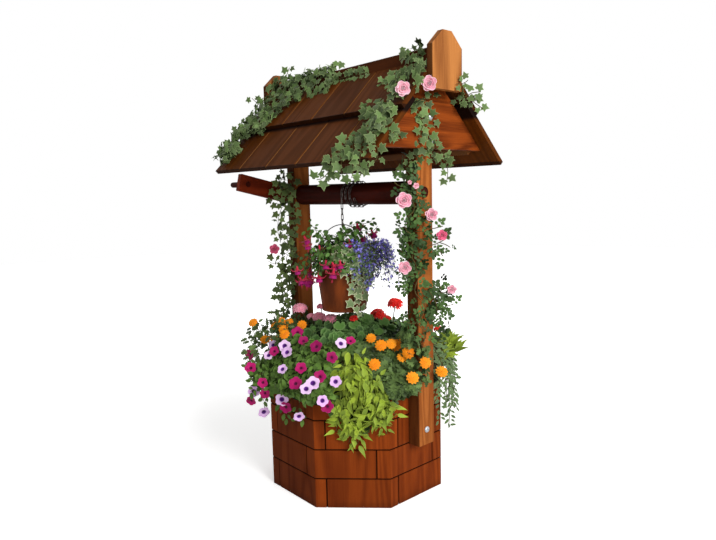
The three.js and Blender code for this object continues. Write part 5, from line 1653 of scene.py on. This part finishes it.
# %% Train the loose shoots
ROOF = ("front_lower_boards", "front_upper_boards", "ridge_beam", "right_gable", "left_finial")
GABLE = ("right_gable", "right_post", "right_finial", "back_upper_boards")
roof_lines = traced([
    [(348, 78), (358, 77), (369, 74)], [(328, 82), (340, 79), (352, 76)], [(262, 106), (257, 102), (253, 98)],
    [(286, 84), (288, 76), (291, 68)], [(235, 146), (230, 152), (228, 158)], [(243, 132), (236, 140), (231, 150)],
    [(380, 84), (390, 80), (402, 78)], [(416, 64), (420, 58), (421, 52)], [(392, 112), (379, 108), (365, 108)],
    [(386, 118), (374, 122), (364, 124)],
    [(384, 130), (372, 134), (362, 138), (350, 140), (346, 148), (340, 154), (334, 160), (328, 165)],
    [(340, 154), (343, 162), (343, 172)], [(334, 160), (330, 170), (324, 177), (318, 178)],
    [(335, 166), (336, 172), (333, 177)], [(356, 138), (354, 148), (356, 156)],
    [(366, 136), (363, 148), (361, 160), (362, 174)], [(361, 160), (355, 168), (353, 176)],
    [(376, 146), (376, 158), (372, 162)], [(388, 128), (394, 134), (397, 138)],
], *ROOF)
gable_lines = traced([
    [(411, 100), (417, 112), (422, 124), (428, 136), (432, 146)], [(417, 112), (426, 114), (435, 118)],
    [(422, 124), (418, 134), (418, 143)], [(432, 146), (440, 153), (449, 156)],
    [(440, 153), (446, 160), (448, 168), (447, 178)], [(430, 150), (428, 157), (433, 160)],
    [(424, 148), (418, 154), (412, 162), (406, 170), (401, 176)], [(420, 98), (428, 100), (430, 94)],
    [(455, 84), (461, 84), (468, 80)], [(455, 96), (462, 98), (470, 93), (479, 92)],
    [(466, 98), (474, 104), (481, 109)],
], *GABLE)
shoots("loose_roof_ivy", roof_lines + gable_lines, ROOF_IVY, 0.0255, 0.0125, 130, reach=0.014)
shoots("loose_post_ivy", traced([
    [(284, 172), (282, 184), (277, 192), (272, 204)],
    [(286, 184), (287, 196), (283, 208), (280, 218), (279, 230), (281, 238)],
    [(292, 200), (293, 212), (295, 220), (291, 230), (292, 238)], [(287, 226), (286, 238), (287, 247), (293, 246)],
    [(290, 248), (284, 256), (281, 262), (275, 264), (270, 261)], [(292, 252), (291, 262), (290, 274), (283, 268)],
    [(286, 270), (284, 278), (281, 288), (277, 294)], [(291, 278), (290, 290), (286, 300), (288, 310), (282, 314)],
    [(294, 176), (290, 186), (291, 196)], [(286, 284), (279, 297)],
], "post_ivy", "left_post"), POST_IVY, 0.027, 0.0155, 131, reach=0.014)
shoots("rose_canes", traced([
    [(424, 338), (418, 322), (424, 306), (416, 290), (420, 274), (410, 258), (414, 242), (406, 226), (413, 208),
     (408, 192)],
    [(430, 320), (436, 314), (434, 302), (427, 290)], [(434, 302), (439, 293), (448, 291)],
    [(436, 310), (444, 306), (452, 304)], [(436, 298), (440, 290), (438, 286)], [(436, 316), (440, 318)],
    [(426, 246), (434, 244), (442, 240)], [(438, 242), (444, 244), (449, 247)],
    [(436, 244), (438, 251), (441, 256)], [(420, 226), (430, 229), (441, 226)],
    [(410, 258), (404, 252), (401, 249)], [(412, 276), (405, 276), (400, 278)],
    [(408, 228), (402, 227), (399, 229)], [(405, 186), (400, 186), (396, 182)], [(410, 284), (406, 286)],
    [(413, 208), (420, 200), (425, 200)], [(418, 322), (412, 324), (409, 322)],
], "climbing_rose", "right_post"), ROSE_LEAF, 0.037, 0.018, 132, reach=0.010, stem=0.0014)

# %% Set the roses
PINK_ROSE = rose_bloom, bloom("rose_petal_pink", (222, 120, 148), (242, 182, 196), (236, 160, 182), (250, 222, 228),
                              size=0.1, start=0.75), "rose"
DEEP_ROSE = rose_bloom, bloom("rose_petal_deep", (214, 70, 110), (232, 110, 146), (226, 90, 130), (240, 150, 176),
                              size=0.1, start=0.8), "rose"
ROSE_HOSTS = ("climbing_rose", "right_post", "roof_ivy_right", "right_finial", "post_ivy")
for name, kind, pixels, sizes in (
    ("pink_roses", PINK_ROSE, [(403, 88), (432, 83), (404, 201), (433, 216), (407, 266), (451, 285), (414, 184),
                               (410, 183)], (0.023, 0.024, 0.026, 0.021, 0.022, 0.017, 0.010, 0.007)),
    ("deep_roses", DEEP_ROSE, [(442, 234), (276, 249)], (0.018, 0.021)),
):
    dice = np.random.default_rng(len(name))
    points, out, roots = seen_at(pixels, *ROSE_HOSTS)
    facing = unit(unit(EYE - points) + out * 0.2 + dice.normal(0, 0.12, points.shape))
    stalk = facing * np.where(points[:, :1] > 0.39, 0.010, 0.038)
    places = stand(points + stalk, facing, dice.normal(0, 1, points.shape), sizes)
    planted(name, kind, places, dice.random(len(points)))
    stems(name + "_stalks", zip(roots - out * 0.004, (roots + points) / 2 - UP * 0.003, points + stalk * 0.9), "rose")

for template in (fine_link, coarse_link, *leaves, *flowers, rose_leaf, frill, rose_petal):
    bpy.data.objects.remove(template)

# %% [markdown]
# ## Finish
# The models that were copied are gone, and only planted pieces are left.

# %% Finish
bpy.context.scene.view_settings.view_transform = "Standard"
